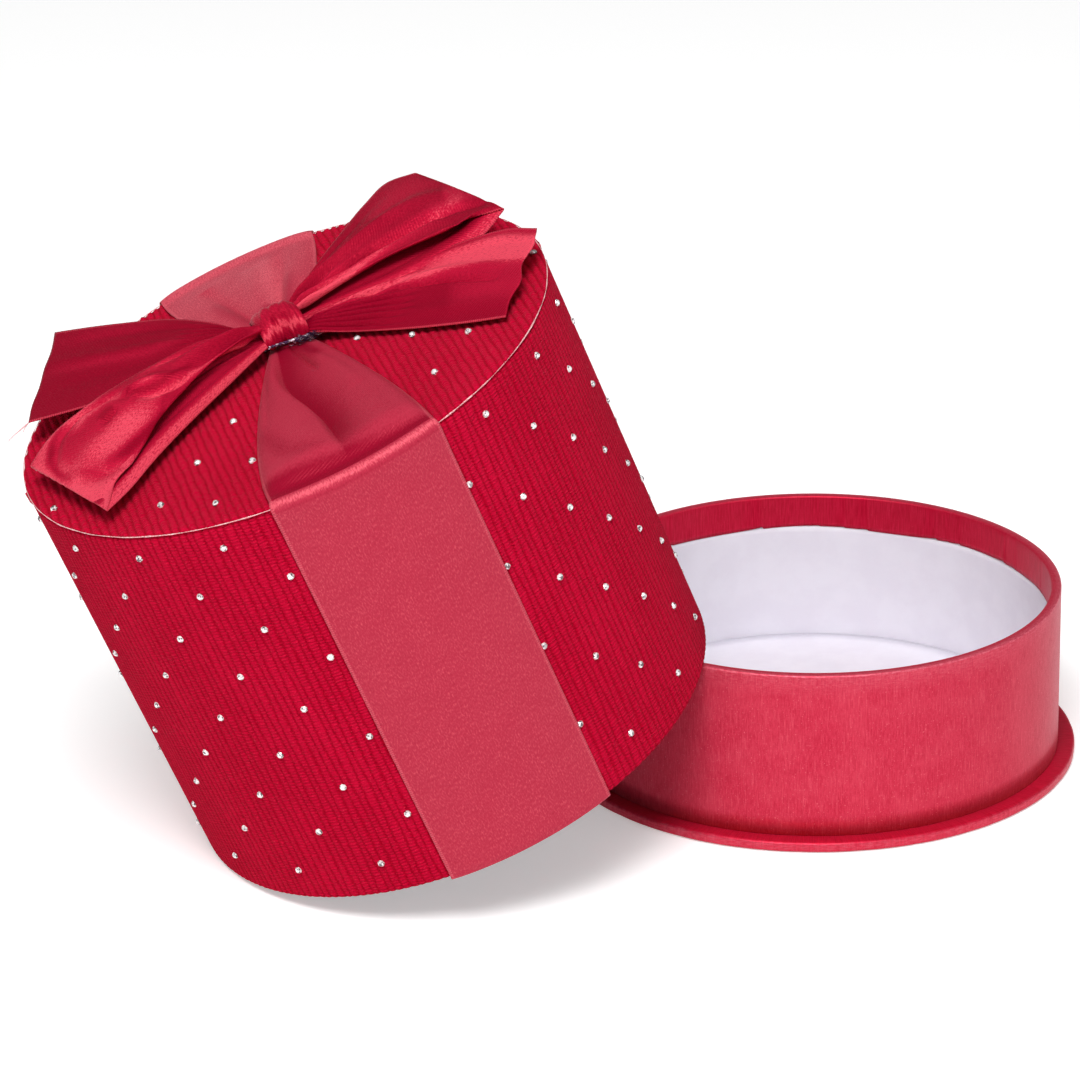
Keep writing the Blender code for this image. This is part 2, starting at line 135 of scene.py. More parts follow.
def gridPiece(name, points, cloth, stuff, roundRows=False, roundColumns=False, thickness=0.0, offset=-1.0,
              weld=False, flip=False):
    # A grid of points, rows by columns, becomes one smooth mesh. Round rows or columns repeat their first
    # line at the end, and are closed there. The pattern coordinates are millimetres on the flat material.
    rows, columns = points.shape[:2]
    if stuffs[stuff][1] == "cover":
        points = leaned(points)
    keptRows = rows - 1 if roundRows else rows
    keptColumns = columns - 1 if roundColumns else columns
    row, column = np.meshgrid(np.arange(rows - 1), np.arange(columns - 1), indexing="ij")
    cornerRows = np.stack((row, row, row + 1, row + 1), axis=-1).reshape(-1, 4)
    cornerColumns = np.stack((column, column + 1, column + 1, column), axis=-1).reshape(-1, 4)
    if flip:
        cornerRows, cornerColumns = cornerRows[:, ::-1], cornerColumns[:, ::-1]
    faces = (cornerRows % keptRows) * keptColumns + cornerColumns % keptColumns
    mesh = bpy.data.meshes.new(name)
    mesh.vertices.add(keptRows * keptColumns)
    mesh.vertices.foreach_set("co", points[:keptRows, :keptColumns].reshape(-1))
    mesh.loops.add(faces.size)
    mesh.loops.foreach_set("vertex_index", faces.reshape(-1).astype(np.int32))
    mesh.polygons.add(len(faces))
    mesh.polygons.foreach_set("loop_start", np.arange(0, faces.size, 4, dtype=np.int32))
    layer = mesh.uv_layers.new(name="cloth")
    layer.data.foreach_set("uv", cloth[cornerRows, cornerColumns].reshape(-1))
    mesh.update(calc_edges=True)
    mesh.validate()
    if weld:
        work = bmesh.new()
        work.from_mesh(mesh)
        bmesh.ops.remove_doubles(work, verts=work.verts, dist=1e-6)
        work.to_mesh(mesh)
        work.free()
    mesh.shade_smooth()
    return finishPiece(name, mesh, stuff, thickness, offset)


def markPoints(piece, name, values):
    # One number for each point of a finished grid, which its material reads
    layer = piece.data.attributes.new(name, "FLOAT", "POINT")
    layer.data.foreach_set("value", np.asarray(values, np.float32).reshape(-1))


def finishPiece(name, mesh, stuff, thickness=0.0, offset=-1.0):
    # A mesh becomes a piece with its material, its thickness and its body
    finish, body, slot = stuffs[stuff]
    mesh.materials.append(finish)
    piece = bpy.data.objects.new(name, mesh)
    bpy.context.scene.collection.objects.link(piece)
    if thickness:
        solid = piece.modifiers.new("thickness", "SOLIDIFY")
        solid.thickness = thickness
        solid.offset = offset
    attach(piece, body)
    return piece


def turnedPiece(name, radii, heights, columns, stuff, roundRows=False, thickness=0.0):
    # A profile of radii and heights carried round the upright axis. Either may vary with the angle.
    angles = np.linspace(0, math.tau, columns + 1)
    radii, heights = (part if np.ndim(part) == 2 else part[:, None] for part in (radii, heights))
    points = turnedPoints(radii, angles, heights)
    along = lengthAlong(together(radii[:, 0], heights[:, 0]))[:, None]
    cloth = together(angles * radii.max(), along) * 1000
    return gridPiece(name, points, cloth, stuff, roundRows, roundColumns=True, thickness=thickness)


# Shader helpers


class Value:
    # What a node puts out. Each sign of plain arithmetic on it adds a Math node to its tree.
    def __init__(self, socket):
        self.socket = socket

    def __add__(self, other):
        return maths("ADD", self, other)

    def __sub__(self, other):
        return maths("SUBTRACT", self, other)

    def __mul__(self, other):
        return maths("MULTIPLY", self, other)

    def __rtruediv__(self, other):
        return maths("DIVIDE", other, self)


def addNode(tree, kind, inputs=None, output=0, **settings):
    # One node, whose inputs take another node's value or a plain one, and one of its outputs
    made = tree.nodes.new("ShaderNode" + kind)
    for key, value in settings.items():
        setattr(made, key, value)
    for socket, value in (inputs or {}).items():
        if isinstance(value, Value):
            tree.links.new(value.socket, made.inputs[socket])
        else:
            made.inputs[socket].default_value = value
    return Value(made.outputs[output])


def outputsOf(value):
    # All that a value's node puts out, by name
    return {socket.name: Value(socket) for socket in value.socket.node.outputs}


def maths(operation, first, second=0.0):
    # A Math node in the tree of whichever of its values comes from a node
    tree = (first if isinstance(first, Value) else second).socket.id_data
    return addNode(tree, "Math", {0: first, 1: second, 2: 0.0}, operation=operation)


def blend(factor, first, second):
    # A mix of two colours, each a node's or a plain red, green and blue
    first, second = (colour if isinstance(colour, Value) else (*colour, 1) for colour in (first, second))
    return addNode(factor.socket.id_data, "Mix", {0: factor, 6: first, 7: second}, 2, data_type="RGBA")


def ramp(value, low, high, outLow=0.0, outHigh=1.0):
    # A smooth step from one number to another, as a value goes from low to high
    return addNode(value.socket.id_data, "MapRange", {
        "Value": value, "From Min": low, "From Max": high, "To Min": outLow, "To Max": outHigh},
        interpolation_type="SMOOTHSTEP")


def noise(place, scale, detail, rough=0.5):
    return addNode(place.socket.id_data, "TexNoise", {"Vector": place, "Scale": scale, "Detail": detail,
                                                      "Roughness": rough})


def stretched(place, acrossScale, alongScale, detail=2.0, rough=0.5):
    # Noise whose size differs across and along the cloth
    inputs = {"Vector": place, "Scale": (acrossScale, alongScale, 1.0)}
    return noise(addNode(place.socket.id_data, "Mapping", inputs), 1.0, detail, rough)


def marked(tree, name):
    # The number that markPoints left on the piece's points
    return addNode(tree, "Attribute", output=2, attribute_name=name)


def newGroup(name, inputs):
    # A node group that takes a place and some numbers with their usual values
    group = bpy.data.node_groups.new(name, "ShaderNodeTree")
    group.interface.new_socket("Place", in_out="INPUT", socket_type="NodeSocketVector")
    for socket, value in inputs.items():
        made = group.interface.new_socket(socket, in_out="INPUT", socket_type="NodeSocketFloat")
        made.default_value = value
    return group, {made.name: Value(made) for made in group.nodes.new("NodeGroupInput").outputs if made.name}


def endGroup(group, results):
    # The numbers that a node group puts out
    for socket in results:
        group.interface.new_socket(socket, in_out="OUTPUT", socket_type="NodeSocketFloat")
    last = group.nodes.new("NodeGroupOutput")
    for socket, value in results.items():
        group.links.new(value.socket, last.inputs[socket])
    return group


def useGroup(tree, group, place, **inputs):
    return outputsOf(addNode(tree, "Group", {"Place": place, **inputs}, node_tree=group))


def newFinish(name, sockets):
    # A material with its constants on the shader's own sockets, and its tree
    finish = bpy.data.materials.new(name)
    finish.use_nodes = True
    for socket, value in sockets.items():
        finish.node_tree.nodes["Principled BSDF"].inputs[socket].default_value = value
    return finish, finish.node_tree


def clothPlace(tree):
    return addNode(tree, "UVMap", uv_map="cloth")


def bumped(height, strength, distance):
    inputs = {"Height": height, "Strength": strength, "Distance": distance}
    return addNode(height.socket.id_data, "Bump", inputs)


def wired(finish, sockets):
    # The material, once values feed its shader's sockets
    tree = finish.node_tree
    for socket, value in sockets.items():
        tree.links.new(value.socket, tree.nodes["Principled BSDF"].inputs[socket])
    return finish


def makeWovenGroup():
    # Satin weave in millimetres: long floats along the ribbon, fine threads across, and a dotted selvedge
    group, given = newGroup("satinWeave", {"Thread": 0.3, "Half Width": 24.0})
    split = outputsOf(addNode(group, "SeparateXYZ", {0: given["Place"]}))
    along, across = split["X"], split["Y"]
    perThread = 1.0 / given["Thread"]
    floats = addNode(group, "CombineXYZ", {0: along * (perThread * 0.45), 1: across * (perThread * 1.1)})
    grain = noise(floats, 1.0, 1.5, 0.6)
    rows = maths("SINE", (along + across * 0.45) * (perThread * math.pi) + grain * 3.0)
    cloud = noise(given["Place"], 0.16, 3.0, 0.55)
    selvedge = ramp(given["Half Width"] - maths("ABSOLUTE", across), 1.1, 0.7)
    dots = maths("SINE", along * (perThread * 4.2))
    return endGroup(group, {"Height": grain * 1.1 + rows * 0.16 + dots * selvedge * 0.5,
                            "Tone": grain * 0.92 + cloud * 0.14, "Selvedge": selvedge * (dots * 0.4 + 0.6)})


def makePaperGroup():
    # Laid paper in millimetres: fine fibres in one direction over broad soft mottling
    group, given = newGroup("paperGrain", {"Fibre": 0.35})
    split = outputsOf(addNode(group, "SeparateXYZ", {0: given["Place"]}))
    perFibre = 1.0 / given["Fibre"]
    stretch = addNode(group, "CombineXYZ", {0: split["X"] * perFibre, 1: split["Y"] * (perFibre * 0.16)})
    fibres = noise(stretch, 1.0, 3.0, 0.65)
    specks = noise(given["Place"], 2.6, 2.0)
    return endGroup(group, {"Height": specks * 0.35 + fibres, "Tone": specks * 0.3 + fibres * 0.7,
                            "Mottle": noise(given["Place"], 0.09, 4.0, 0.6)})


wovenGroup = makeWovenGroup()
paperGroup = makePaperGroup()


def makeSatin(name, look):
    # Filament satin: dark, middle and light tones follow the painted highlight and shade that each sheet's
    # folds are given, broken up by the floats, under a tinted gloss that spreads across them as a bundle of
    # fine cylinders spreads it
    finish, tree = newFinish(name, {
        "Anisotropic": 0.97, "Anisotropic Rotation": 0.25, "Sheen Weight": look["sheen"],
        "Sheen Roughness": 0.35, "Sheen Tint": (1.0, 0.40, 0.48, 1), "IOR": look["ior"],
        "Specular IOR Level": 1.0, "Specular Tint": look["tint"]})
    weave = useGroup(tree, wovenGroup, clothPlace(tree), Thread=0.42)
    paintedLight = marked(tree, "paintedLight")
    # Painted highlight and shade from the points' painted light; the grain stands out more where the painted
    # highlight is strong
    paintedShine = (weave["Tone"] - 0.53) * (paintedLight * look["sparkle"] + 0.45) + paintedLight
    dark, middle, light = look["tones"]
    # The dark tone is laid where the painted light is low, as painted shade, and the light tone as the
    # painted highlight
    colour = blend(ramp(paintedShine, 0.5, 1.0), blend(ramp(paintedShine, 0.0, 0.5), dark, middle), light)
    return wired(finish, {
        "Base Color": blend(weave["Selvedge"] * 0.75, colour, light),
        "Roughness": ramp(weave["Tone"], 0.3, 0.8, look["roughness"] + 0.08, look["roughness"] - 0.12),
        "Normal": bumped(weave["Height"], 0.9, look["relief"]),
        "Tangent": addNode(tree, "Tangent", direction_type="UV_MAP", uv_map="cloth")})


def makeCorduroy():
    # Needlecord: soft grooves between the wales, painted darker as shade, which the weft breaks into small
    # beads with painted shade between them, under a patchy fuzz
    finish, tree = newFinish("corduroyRed", {
        "Roughness": 0.95, "Sheen Weight": 0.07, "Sheen Roughness": 0.30, "Sheen Tint": (1.0, 0.34, 0.42, 1),
        "Specular IOR Level": 0.02})
    place = clothPlace(tree)
    split = outputsOf(addNode(tree, "SeparateXYZ", {0: place}))
    across, along = split["X"], split["Y"]
    bloom = stretched(place, 0.10, 0.06, 3.0, 0.55)
    cell = stretched(place, 1.3, 1.6, 2.0, 0.55)
    fuzz = stretched(place, 4.5, 4.0, 3.0, 0.7)
    crest = maths("ABSOLUTE", maths("SINE", ((cell - 0.5) * 0.35 + across) * math.pi))
    weft = maths("SINE", along * (4.6 * math.pi) + (maths("FLOOR", across) * 2.4 + cell * 5.0))
    # Painted shade: the grooves take a darker colour than the crests
    paintedGrooveTone = blend(bloom, (0.41, 0.0004, 0.016), (0.47, 0.0008, 0.022))
    pile = blend(bloom, (0.55, 0.0016, 0.029), (0.63, 0.005, 0.041))
    colour = blend(ramp(crest, 0.15, 0.90), paintedGrooveTone, pile)
    paintedGrooveShade = ramp(crest, 0.45, 0.0) * ramp(cell, 0.36, 0.60, 0.05, 0.65)
    lift = ramp(fuzz, 0.50, 0.70) * ramp(weft, -0.4, 0.9, 0.25, 1.0) * 0.75
    shade = ramp(weft, 0.1, -0.9) * (ramp(bloom, 0.62, 0.40, 0.35, 1.0) * 0.5)
    for mask, tone in ((paintedGrooveShade, (0.32, 0.0004, 0.012)), (lift, (0.76, 0.022, 0.064)),
                       (shade, (0.33, 0.0005, 0.014))):
        colour = blend(mask, colour, tone)
    height = cell * 1.2 + (fuzz * 0.8 + weft * 0.14)
    return wired(finish, {"Base Color": colour, "Normal": bumped(height, 1.0, 0.00055)})


def makeBasePaper():
    # Pearlescent paper: fine upright fibres and pale specks under a painted pearly sheen, plain red as
    # painted shade where it is turned away from the light, and scuffs along the edges, with a painted
    # highlight on the neck's rim
    finish, tree = newFinish("basePaper", {
        "Sheen Weight": 0.06, "Sheen Roughness": 0.45, "Sheen Tint": (1.0, 0.50, 0.58, 1),
        "Specular IOR Level": 0.10, "Metallic": 0.36})
    place = clothPlace(tree)
    grain = useGroup(tree, paperGroup, place, Fibre=0.32)
    fibres = stretched(place, 2.8, 0.16, 3.0, 0.62)
    specks = stretched(place, 2.6, 1.5, 2.0, 0.6)
    colour = blend(ramp(grain["Tone"], 0.36, 0.64), (0.51, 0.013, 0.045), (0.62, 0.034, 0.076))
    for mask, tone in ((ramp(grain["Mottle"], 0.35, 0.7, 0.10, 0.45), (0.68, 0.062, 0.106)),
                       (ramp(fibres, 0.50, 0.36, 0.0, 0.34), (0.46, 0.010, 0.036)),
                       (ramp(fibres, 0.54, 0.70, 0.0, 0.40), (0.74, 0.105, 0.150)),
                       (ramp(specks, 0.62, 0.72, 0.0, 0.55), (0.80, 0.20, 0.25))):
        colour = blend(mask, colour, tone)
    # Plain red, used as painted shade where the painted pearly sheen is low
    plain = blend(ramp(fibres, 0.36, 0.64), (0.50, 0.0010, 0.024), (0.62, 0.0045, 0.042))
    colour = blend(marked(tree, "pearlPaintedSheen"), plain, colour)
    # Pale scuffs of real wear, and a painted highlight where the rim is marked
    scuffAndHighlight = marked(tree, "wearAndPaintedHighlight") * ramp(stretched(place, 0.55, 2.0, 4.0, 0.7), 0.42, 0.62, 0.25, 1.0)
    return wired(finish, {
        "Base Color": blend(scuffAndHighlight, colour, (0.78, 0.17, 0.23)),
        "Roughness": ramp(grain["Tone"], 0.3, 0.7, 0.50, 0.38),
        "Normal": bumped(grain["Height"], 0.35, 0.00008)})


def makeLiningPaper(name):
    # Matte white paper with a soft mottle
    finish, tree = newFinish(name, {"Specular IOR Level": 0.25, "Sheen Weight": 0.05})
    grain = useGroup(tree, paperGroup, clothPlace(tree), Fibre=0.8)
    return wired(finish, {
        "Base Color": blend(ramp(grain["Mottle"], 0.35, 0.65), (0.77, 0.75, 0.82), (0.80, 0.785, 0.85)),
        "Roughness": ramp(grain["Tone"], 0.3, 0.7, 0.86, 0.74),
        "Normal": bumped(grain["Height"], 0.15, 0.00006)})


def makeGreyboard():
    # Raw board of short fibres, with dark flecks
    finish, tree = newFinish("greyboard", {"Roughness": 0.92, "Specular IOR Level": 0.15})
    place = addNode(tree, "TexCoord", output="Object")
    fibres = noise(place, 900.0, 4.0, 0.7)
    colour = blend(fibres, (0.34, 0.32, 0.28), (0.48, 0.46, 0.42))
    colour = blend(ramp(noise(place, 260.0, 2.0), 0.62, 0.7, 0.0, 0.5), colour, (0.22, 0.20, 0.18))
    return wired(finish, {"Base Color": colour, "Normal": bumped(fibres, 0.3, 0.0001)})


def makeStone():
    # Foiled back clear stone: mirror-like facets, some of them painted dark as a painted reflection of dark
    # surroundings
    finish, tree = newFinish("foiledStone", {
        "Metallic": 0.30, "Specular IOR Level": 0.8, "Coat Weight": 0.8, "Coat Roughness": 0.03})
    paintedFacetReflection = marked(tree, "paintedFacetReflection")
    return wired(finish, {
        "Base Color": blend(ramp(paintedFacetReflection, 0.55, 0.85), (0.97, 0.97, 0.97), (0.10, 0.07, 0.08)),
        "Roughness": ramp(paintedFacetReflection, 0.2, 0.9, 0.10, 0.28)})


def makeTinsel():
    # Foil in small flakes, some of them dark
    finish, tree = newFinish("tinselFoil", {"Metallic": 0.9, "Specular IOR Level": 0.8})
    place = addNode(tree, "TexCoord", output="Object")
    flake = addNode(tree, "TexVoronoi", {"Vector": place, "Scale": 2200.0})
    colour = blend(ramp(noise(place, 900.0, 1.0), 0.48, 0.64), (0.11, 0.05, 0.13), (0.86, 0.82, 0.88))
    return wired(finish, {"Base Color": colour, "Roughness": ramp(flake, 0.0, 0.6, 0.12, 0.4),
                          "Normal": bumped(flake, 0.4, 0.0001)})


def makeThread():
    # Pale, linty ends of yarn at a cut edge
    finish, tree = newFinish("rawEdgeThread", {"Roughness": 0.75, "Sheen Weight": 0.3,
                                               "Sheen Tint": (1.0, 0.8, 0.8, 1)})
    lint = stretched(clothPlace(tree), 1.6, 5.0, 3.0, 0.7)
    colour = blend(ramp(lint, 0.40, 0.60), (0.72, 0.16, 0.20), (0.95, 0.68, 0.68))
    return wired(finish, {"Base Color": colour, "Normal": bumped(lint, 0.6, 0.0001)})


# Each look's tones are the satin's colour in painted shade, in between, and in painted highlight
satinWrapLook = {"tones": ((0.28, 0.002, 0.020), (0.455, 0.027, 0.058), (0.74, 0.11, 0.15)), "ior": 1.40,
                 "roughness": 0.48, "tint": (1.0, 0.12, 0.18, 1), "sheen": 0.05, "sparkle": 0.95,
                 "relief": 0.00012}
satinBowLook = {"tones": ((0.265, 0.0008, 0.016), (0.45, 0.006, 0.034), (0.78, 0.070, 0.115)), "ior": 1.42,
                "roughness": 0.42, "tint": (1.0, 0.05, 0.10, 1), "sheen": 0.0, "sparkle": 1.5,
                "relief": 0.00016}
greyboard = makeGreyboard()
rawEdge = makeThread()
# What the pieces are made of: a material, the body that they ride on and the slot that they fill
stuffs = {
    "corduroy": (makeCorduroy(), "cover", "corduroy"),
    "satinWrap": (makeSatin("satinWrapRed", satinWrapLook), "cover", "satin_wrap"),
    "satinBow": (makeSatin("satinBowRed", satinBowLook), "cover", "satin_bow"),
    "basePaper": (makeBasePaper(), "base", "base_paper"),
    "liningPaper": (makeLiningPaper("liningPaper"), "base", "lining_paper"),
    "coverLining": (makeLiningPaper("coverLining"), "cover", "cover_lining"),
    "stoneFoil": (makeStone(), "cover", "clear_stone"),
    "tinselFoil": (makeTinsel(), "cover", "tinsel_wire"),
    "rimYarn": (rawEdge, "cover", "corduroy"),
    "bowYarn": (rawEdge, "cover", "satin_bow"),
}
print("finishes made")


# Base

baseDetail = {"columns": 720, "pleats": 46, "pleatHeight": 0.00040, "turnInWobble": 0.0011,
              "outsideWobble": 0.00006, "rimCorner": 0.0006, "flangeWobble": 0.00012, "flangeFacets": 26,
              "underPleats": 60, "underHeight": 0.00012, "topWobble": 0.00005}
paper = 0.0002  # how thick the linings and the plate's wrap are
baseAngles = np.linspace(0, math.tau, baseDetail["columns"] + 1)


def pleatSteps(count, seed):
    # Overlapping folds around the base: a sawtooth with random places, 1 just after each step, falling to 0
    random = np.random.default_rng(seed)
    places = np.sort(random.uniform(0, math.tau, count))
    heights = random.uniform(0.3, 1.0, count)
    behind = (baseAngles[:-1, None] - places) % math.tau
    gap = behind.min(axis=1)
    folds = heights[behind.argmin(axis=1)] * np.exp(-gap / 0.05) * np.clip(gap / 0.004, 0, 1)
    return np.append(folds, folds[0])


def makeNeckWrap():
    # Up the outside, over the rounded rim and down inside, where folds lap over each other and the cut edge
    # wavers
    corner = baseDetail["rimCorner"]
    top, inside, outside = neck["height"], neck["inside"], neck["radius"]
    radii, heights = joined(
        (np.full(9, outside), np.linspace(neck["foot"] - 0.0002, top - corner, 9)),
        arcPoints(outside - corner, top - corner, corner, 15, 75, 5),
        (np.linspace(outside - corner, inside + corner, 4), np.full(4, top)),
        arcPoints(inside + corner, top - corner, corner, 105, 165, 5),
        (np.full(8, inside), np.linspace(top - corner, top - neck["turnIn"], 8)))
    insideRows = np.zeros((len(radii), 1))
    insideRows[-8:, 0] = np.linspace(0.25, 1, 8)
    folds = pleatSteps(baseDetail["pleats"], 11)
    radii = radii[:, None] - baseDetail["pleatHeight"] * insideRows * folds
    radii[:9] += baseDetail["outsideWobble"] * wander(baseAngles, 9, 12, 4)
    wobble = wander(baseAngles, 5, 9, 3) * 0.6 + folds * 0.9
    heights = heights[:, None] + insideRows ** 3 * baseDetail["turnInWobble"] * wobble
    piece = turnedPiece("neckWrap", radii, heights, baseDetail["columns"], "basePaper", thickness=0.00022)
    # Pale wear along the rim, carried over its top and inner side as a painted highlight
    wearAndPaintedHighlight = np.zeros(len(radii))
    wearAndPaintedHighlight[8:22] = (0.35, 0.8, 1.0, 0.9, 0.6, 0.7, 0.5, 0.3, 0.2, 0.2, 0.2, 0.2, 0.1, 0.1)
    markPoints(piece, "wearAndPaintedHighlight", np.repeat(wearAndPaintedHighlight, baseDetail["columns"]))
    # Painted pearly sheen on the outside and the rim; the turned-in part, facing away from the light, is
    # painted plain as shade, a little lighter on some fold faces
    pearlPaintedSheen = np.full((len(radii), baseDetail["columns"]), 1.0)
    pearlPaintedSheen[16:] = 0.06 + 0.45 * np.abs(folds[:-1] - 0.4)
    markPoints(piece, "pearlPaintedSheen", pearlPaintedSheen)
    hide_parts("neck_wrap_paper")


def makePlateWrap():
    # Out over the flange, round its edge, and turned in beneath with pleats
    corner, outer = plate["corner"], plate["radius"]
    radii, heights = joined(
        (np.linspace(outer - plate["turnIn"], outer - corner, 5), np.zeros(5)),
        arcPoints(outer - corner, corner, corner, -75, -15, 5),
        (np.full(2, outer), np.linspace(corner, plate["top"] - corner, 2)),
        arcPoints(outer - corner, plate["top"] - corner, corner, 15, 75, 5),
        (np.linspace(outer - corner, neck["radius"] - 0.001, 6), np.full(6, plate["top"])))
    folds = pleatSteps(baseDetail["underPleats"], 21)
    under = np.zeros((len(radii), 1))
    under[:8, 0] = np.linspace(1, 0.2, 8)
    turns = baseAngles * baseDetail["flangeFacets"] / math.tau + 0.3 * wander(baseAngles, 3, 4, 2)
    facets = np.abs(turns % 1 - 0.5) * 2
    edge = np.zeros((len(radii), 1))
    edge[5:17] = 1
    radii = radii[:, None] + edge * baseDetail["flangeWobble"] * (
        wander(baseAngles, 31, 8, 3) - 0.8 * facets ** 4 - 0.3 * folds)
    heights = heights[:, None] + under * baseDetail["underHeight"] * folds
    heights[-6:] += baseDetail["topWobble"] * wander(baseAngles, 33, 10, 5) * np.linspace(1, 0, 6)[:, None]
    piece = turnedPiece("plateWrap", radii, heights, baseDetail["columns"], "basePaper", thickness=paper)
    # Pale wear and a painted highlight on the flange's rounded edge
    wearAndPaintedHighlight = np.zeros(len(radii))
    wearAndPaintedHighlight[9:17] = (0.15, 0.3, 0.35, 0.35, 0.3, 0.2, 0.1, 0.05)
    markPoints(piece, "wearAndPaintedHighlight", np.repeat(wearAndPaintedHighlight, baseDetail["columns"]))
    # Painted pearly sheen: faint on the flange, stronger on its rounded edge and on the folds there
    pearlPaintedSheen = np.zeros((len(radii), baseDetail["columns"]))
    pearlPaintedSheen[5:] = 0.10
    pearlPaintedSheen[8:14] = 0.45
    markPoints(piece, "pearlPaintedSheen", np.clip(pearlPaintedSheen + 0.45 * edge * (folds[:-1] > 0.55), 0, 1))
    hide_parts("base_plate_wrap")


def makeDisc(name, node, radius, height, thickness, stuff, up=True, bow=0.0):
    # A flat sheet from its rim to its middle, a little uneven
    rings = np.linspace(1, 0, 14)[:, None]
    angles = np.linspace(0, math.tau, 181)
    ripple = bow * np.sin(math.pi * rings) * wander(angles, 41, 4, 2)
    points = turnedPoints(radius * rings, angles, height + ripple)
    if not up:
        points = points[::-1]
    piece = gridPiece(name, points, points[..., :2] * 1000, stuff, roundColumns=True, weld=True,
                      thickness=thickness)
    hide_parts(node)


def makeLining(name, node, radius, heights, stuff):
    # A tube of white paper against the inside of a board
    piece = turnedPiece(name, np.full(len(heights), radius), heights, 360, stuff, thickness=paper)
    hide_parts(node)


def makeBase():
    makeNeckWrap()
    makePlateWrap()
    makeDisc("undersidePaper", "base_underside_paper", plate["radius"] - plate["turnIn"] - 0.0003, 0.0,
             0.00024, "liningPaper", up=False)
    makeLining("neckLining", "neck_lining_paper", neck["inside"] + 0.00018,
               np.linspace(neck["height"] - neck["turnIn"] + 0.0012, neck["foot"], 14), "liningPaper")
    makeDisc("innerFloor", "inner_floor_board", neck["inside"] + liningOffset, neck["floor"], 0.0022,
             "liningPaper", bow=0.0001)
    for node in ("base_plate_board", "neck_tube_board", "cover_tube_board", "cover_top_board"):
        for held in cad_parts[node].material_slots:
            held.material = greyboard
    print("base made")


makeBase()


# Ribbon and bow sizes, which the rim's thread also keeps clear of

ribbon = {"width": 0.048, "turnIn": 0.008, "backTurn": 175.4, "gatherWidth": 0.009, "bulge": 1.57,
          "offset": 0.0005, "edgeSink": 0.00012}
knotPlace = {"along": -0.009, "across": 0.0045, "halfWidth": 0.006}
levels = {"gather": 0.0016, "knotLow": 0.0024, "tail": 0.0043, "loopLow": 0.0050, "loopTop": 0.0096,
          "knotHigh": 0.0104}
halfAngle = ribbon["width"] / 2 / cover["radius"]
knotFoot = np.array((knotPlace["along"], knotPlace["across"], cover["height"]))


# Cover: corduroy and lining

wales = {"around": 214, "samples": 8, "depth": 0.00017, "topDepth": 0.00044, "waver": 0.10, "topWaver": 0.055,
         "topPitch": 0.0021, "topTurn": -3.5, "topSamples": 6, "topRows": 99, "lumps": 0.00018,
         "edge": 0.0011, "clothPitch": 2.2}


def makeCoverWall():
    # Turned in inside, round the mouth edge, up the outside and over the top edge, then back behind itself.
    # The height of each wale follows the sine of its phase, which is a whole number in the groove.
    angles = np.linspace(0, math.tau, wales["around"] * wales["samples"] + 1)
    edge, outer, inner = wales["edge"], cover["radius"], cover["mouth"]
    high = cover["height"] - cover["topDrop"]
    back, front = outer - cover["innerBack"], inner + cover["innerFront"]
    radii, heights = joined(
        (np.full(4, inner), np.linspace(cover["turnIn"], edge, 4)),
        arcPoints(inner + edge, edge, edge, 205, 270, 4),
        arcPoints(outer - edge, edge, edge, 285, 350, 4),
        (np.full(32, outer), np.linspace(edge, high - edge, 32)),
        arcPoints(outer - edge, high - edge, edge, 30, 90, 3),
        (np.array([back, back, front, front, inner]),
         np.array([high, 0.004, 0.003, cover["turnIn"], cover["turnIn"]])))
    shown = len(radii) - 5
    outwards = np.zeros((2, len(radii), 1))
    stepR, stepZ = np.gradient(radii[:shown]), np.gradient(heights[:shown])
    outwards[:, :shown, 0] = (stepZ, -stepR) / np.hypot(stepR, stepZ)
    along = lengthAlong(together(radii, heights))[:, None]
    phase = angles / math.tau * wales["around"] + wales["waver"] * (
        np.sin(along * 170 + angles * 65) + 0.7 * np.sin(along * 250 - angles * 113))
    ridge = np.abs(np.sin(math.pi * phase)) ** 0.85
    rise = wales["depth"] * (ridge * (1 + 0.12 * wander(angles * 3, 52, 9, 11)) - 0.94)
    radii = radii[:, None] + outwards[0] * rise
    heights = heights[:, None] + outwards[1] * rise
    phase[-1] = phase[0]
    points = turnedPoints(radii, angles, heights)
    points[-1] = points[0]
    cloth = together(phase, along * 1000 / wales["clothPitch"])
    piece = gridPiece("corduroyWall", points, cloth, "corduroy", roundRows=True, roundColumns=True)
    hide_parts("cover_fabric_wall")


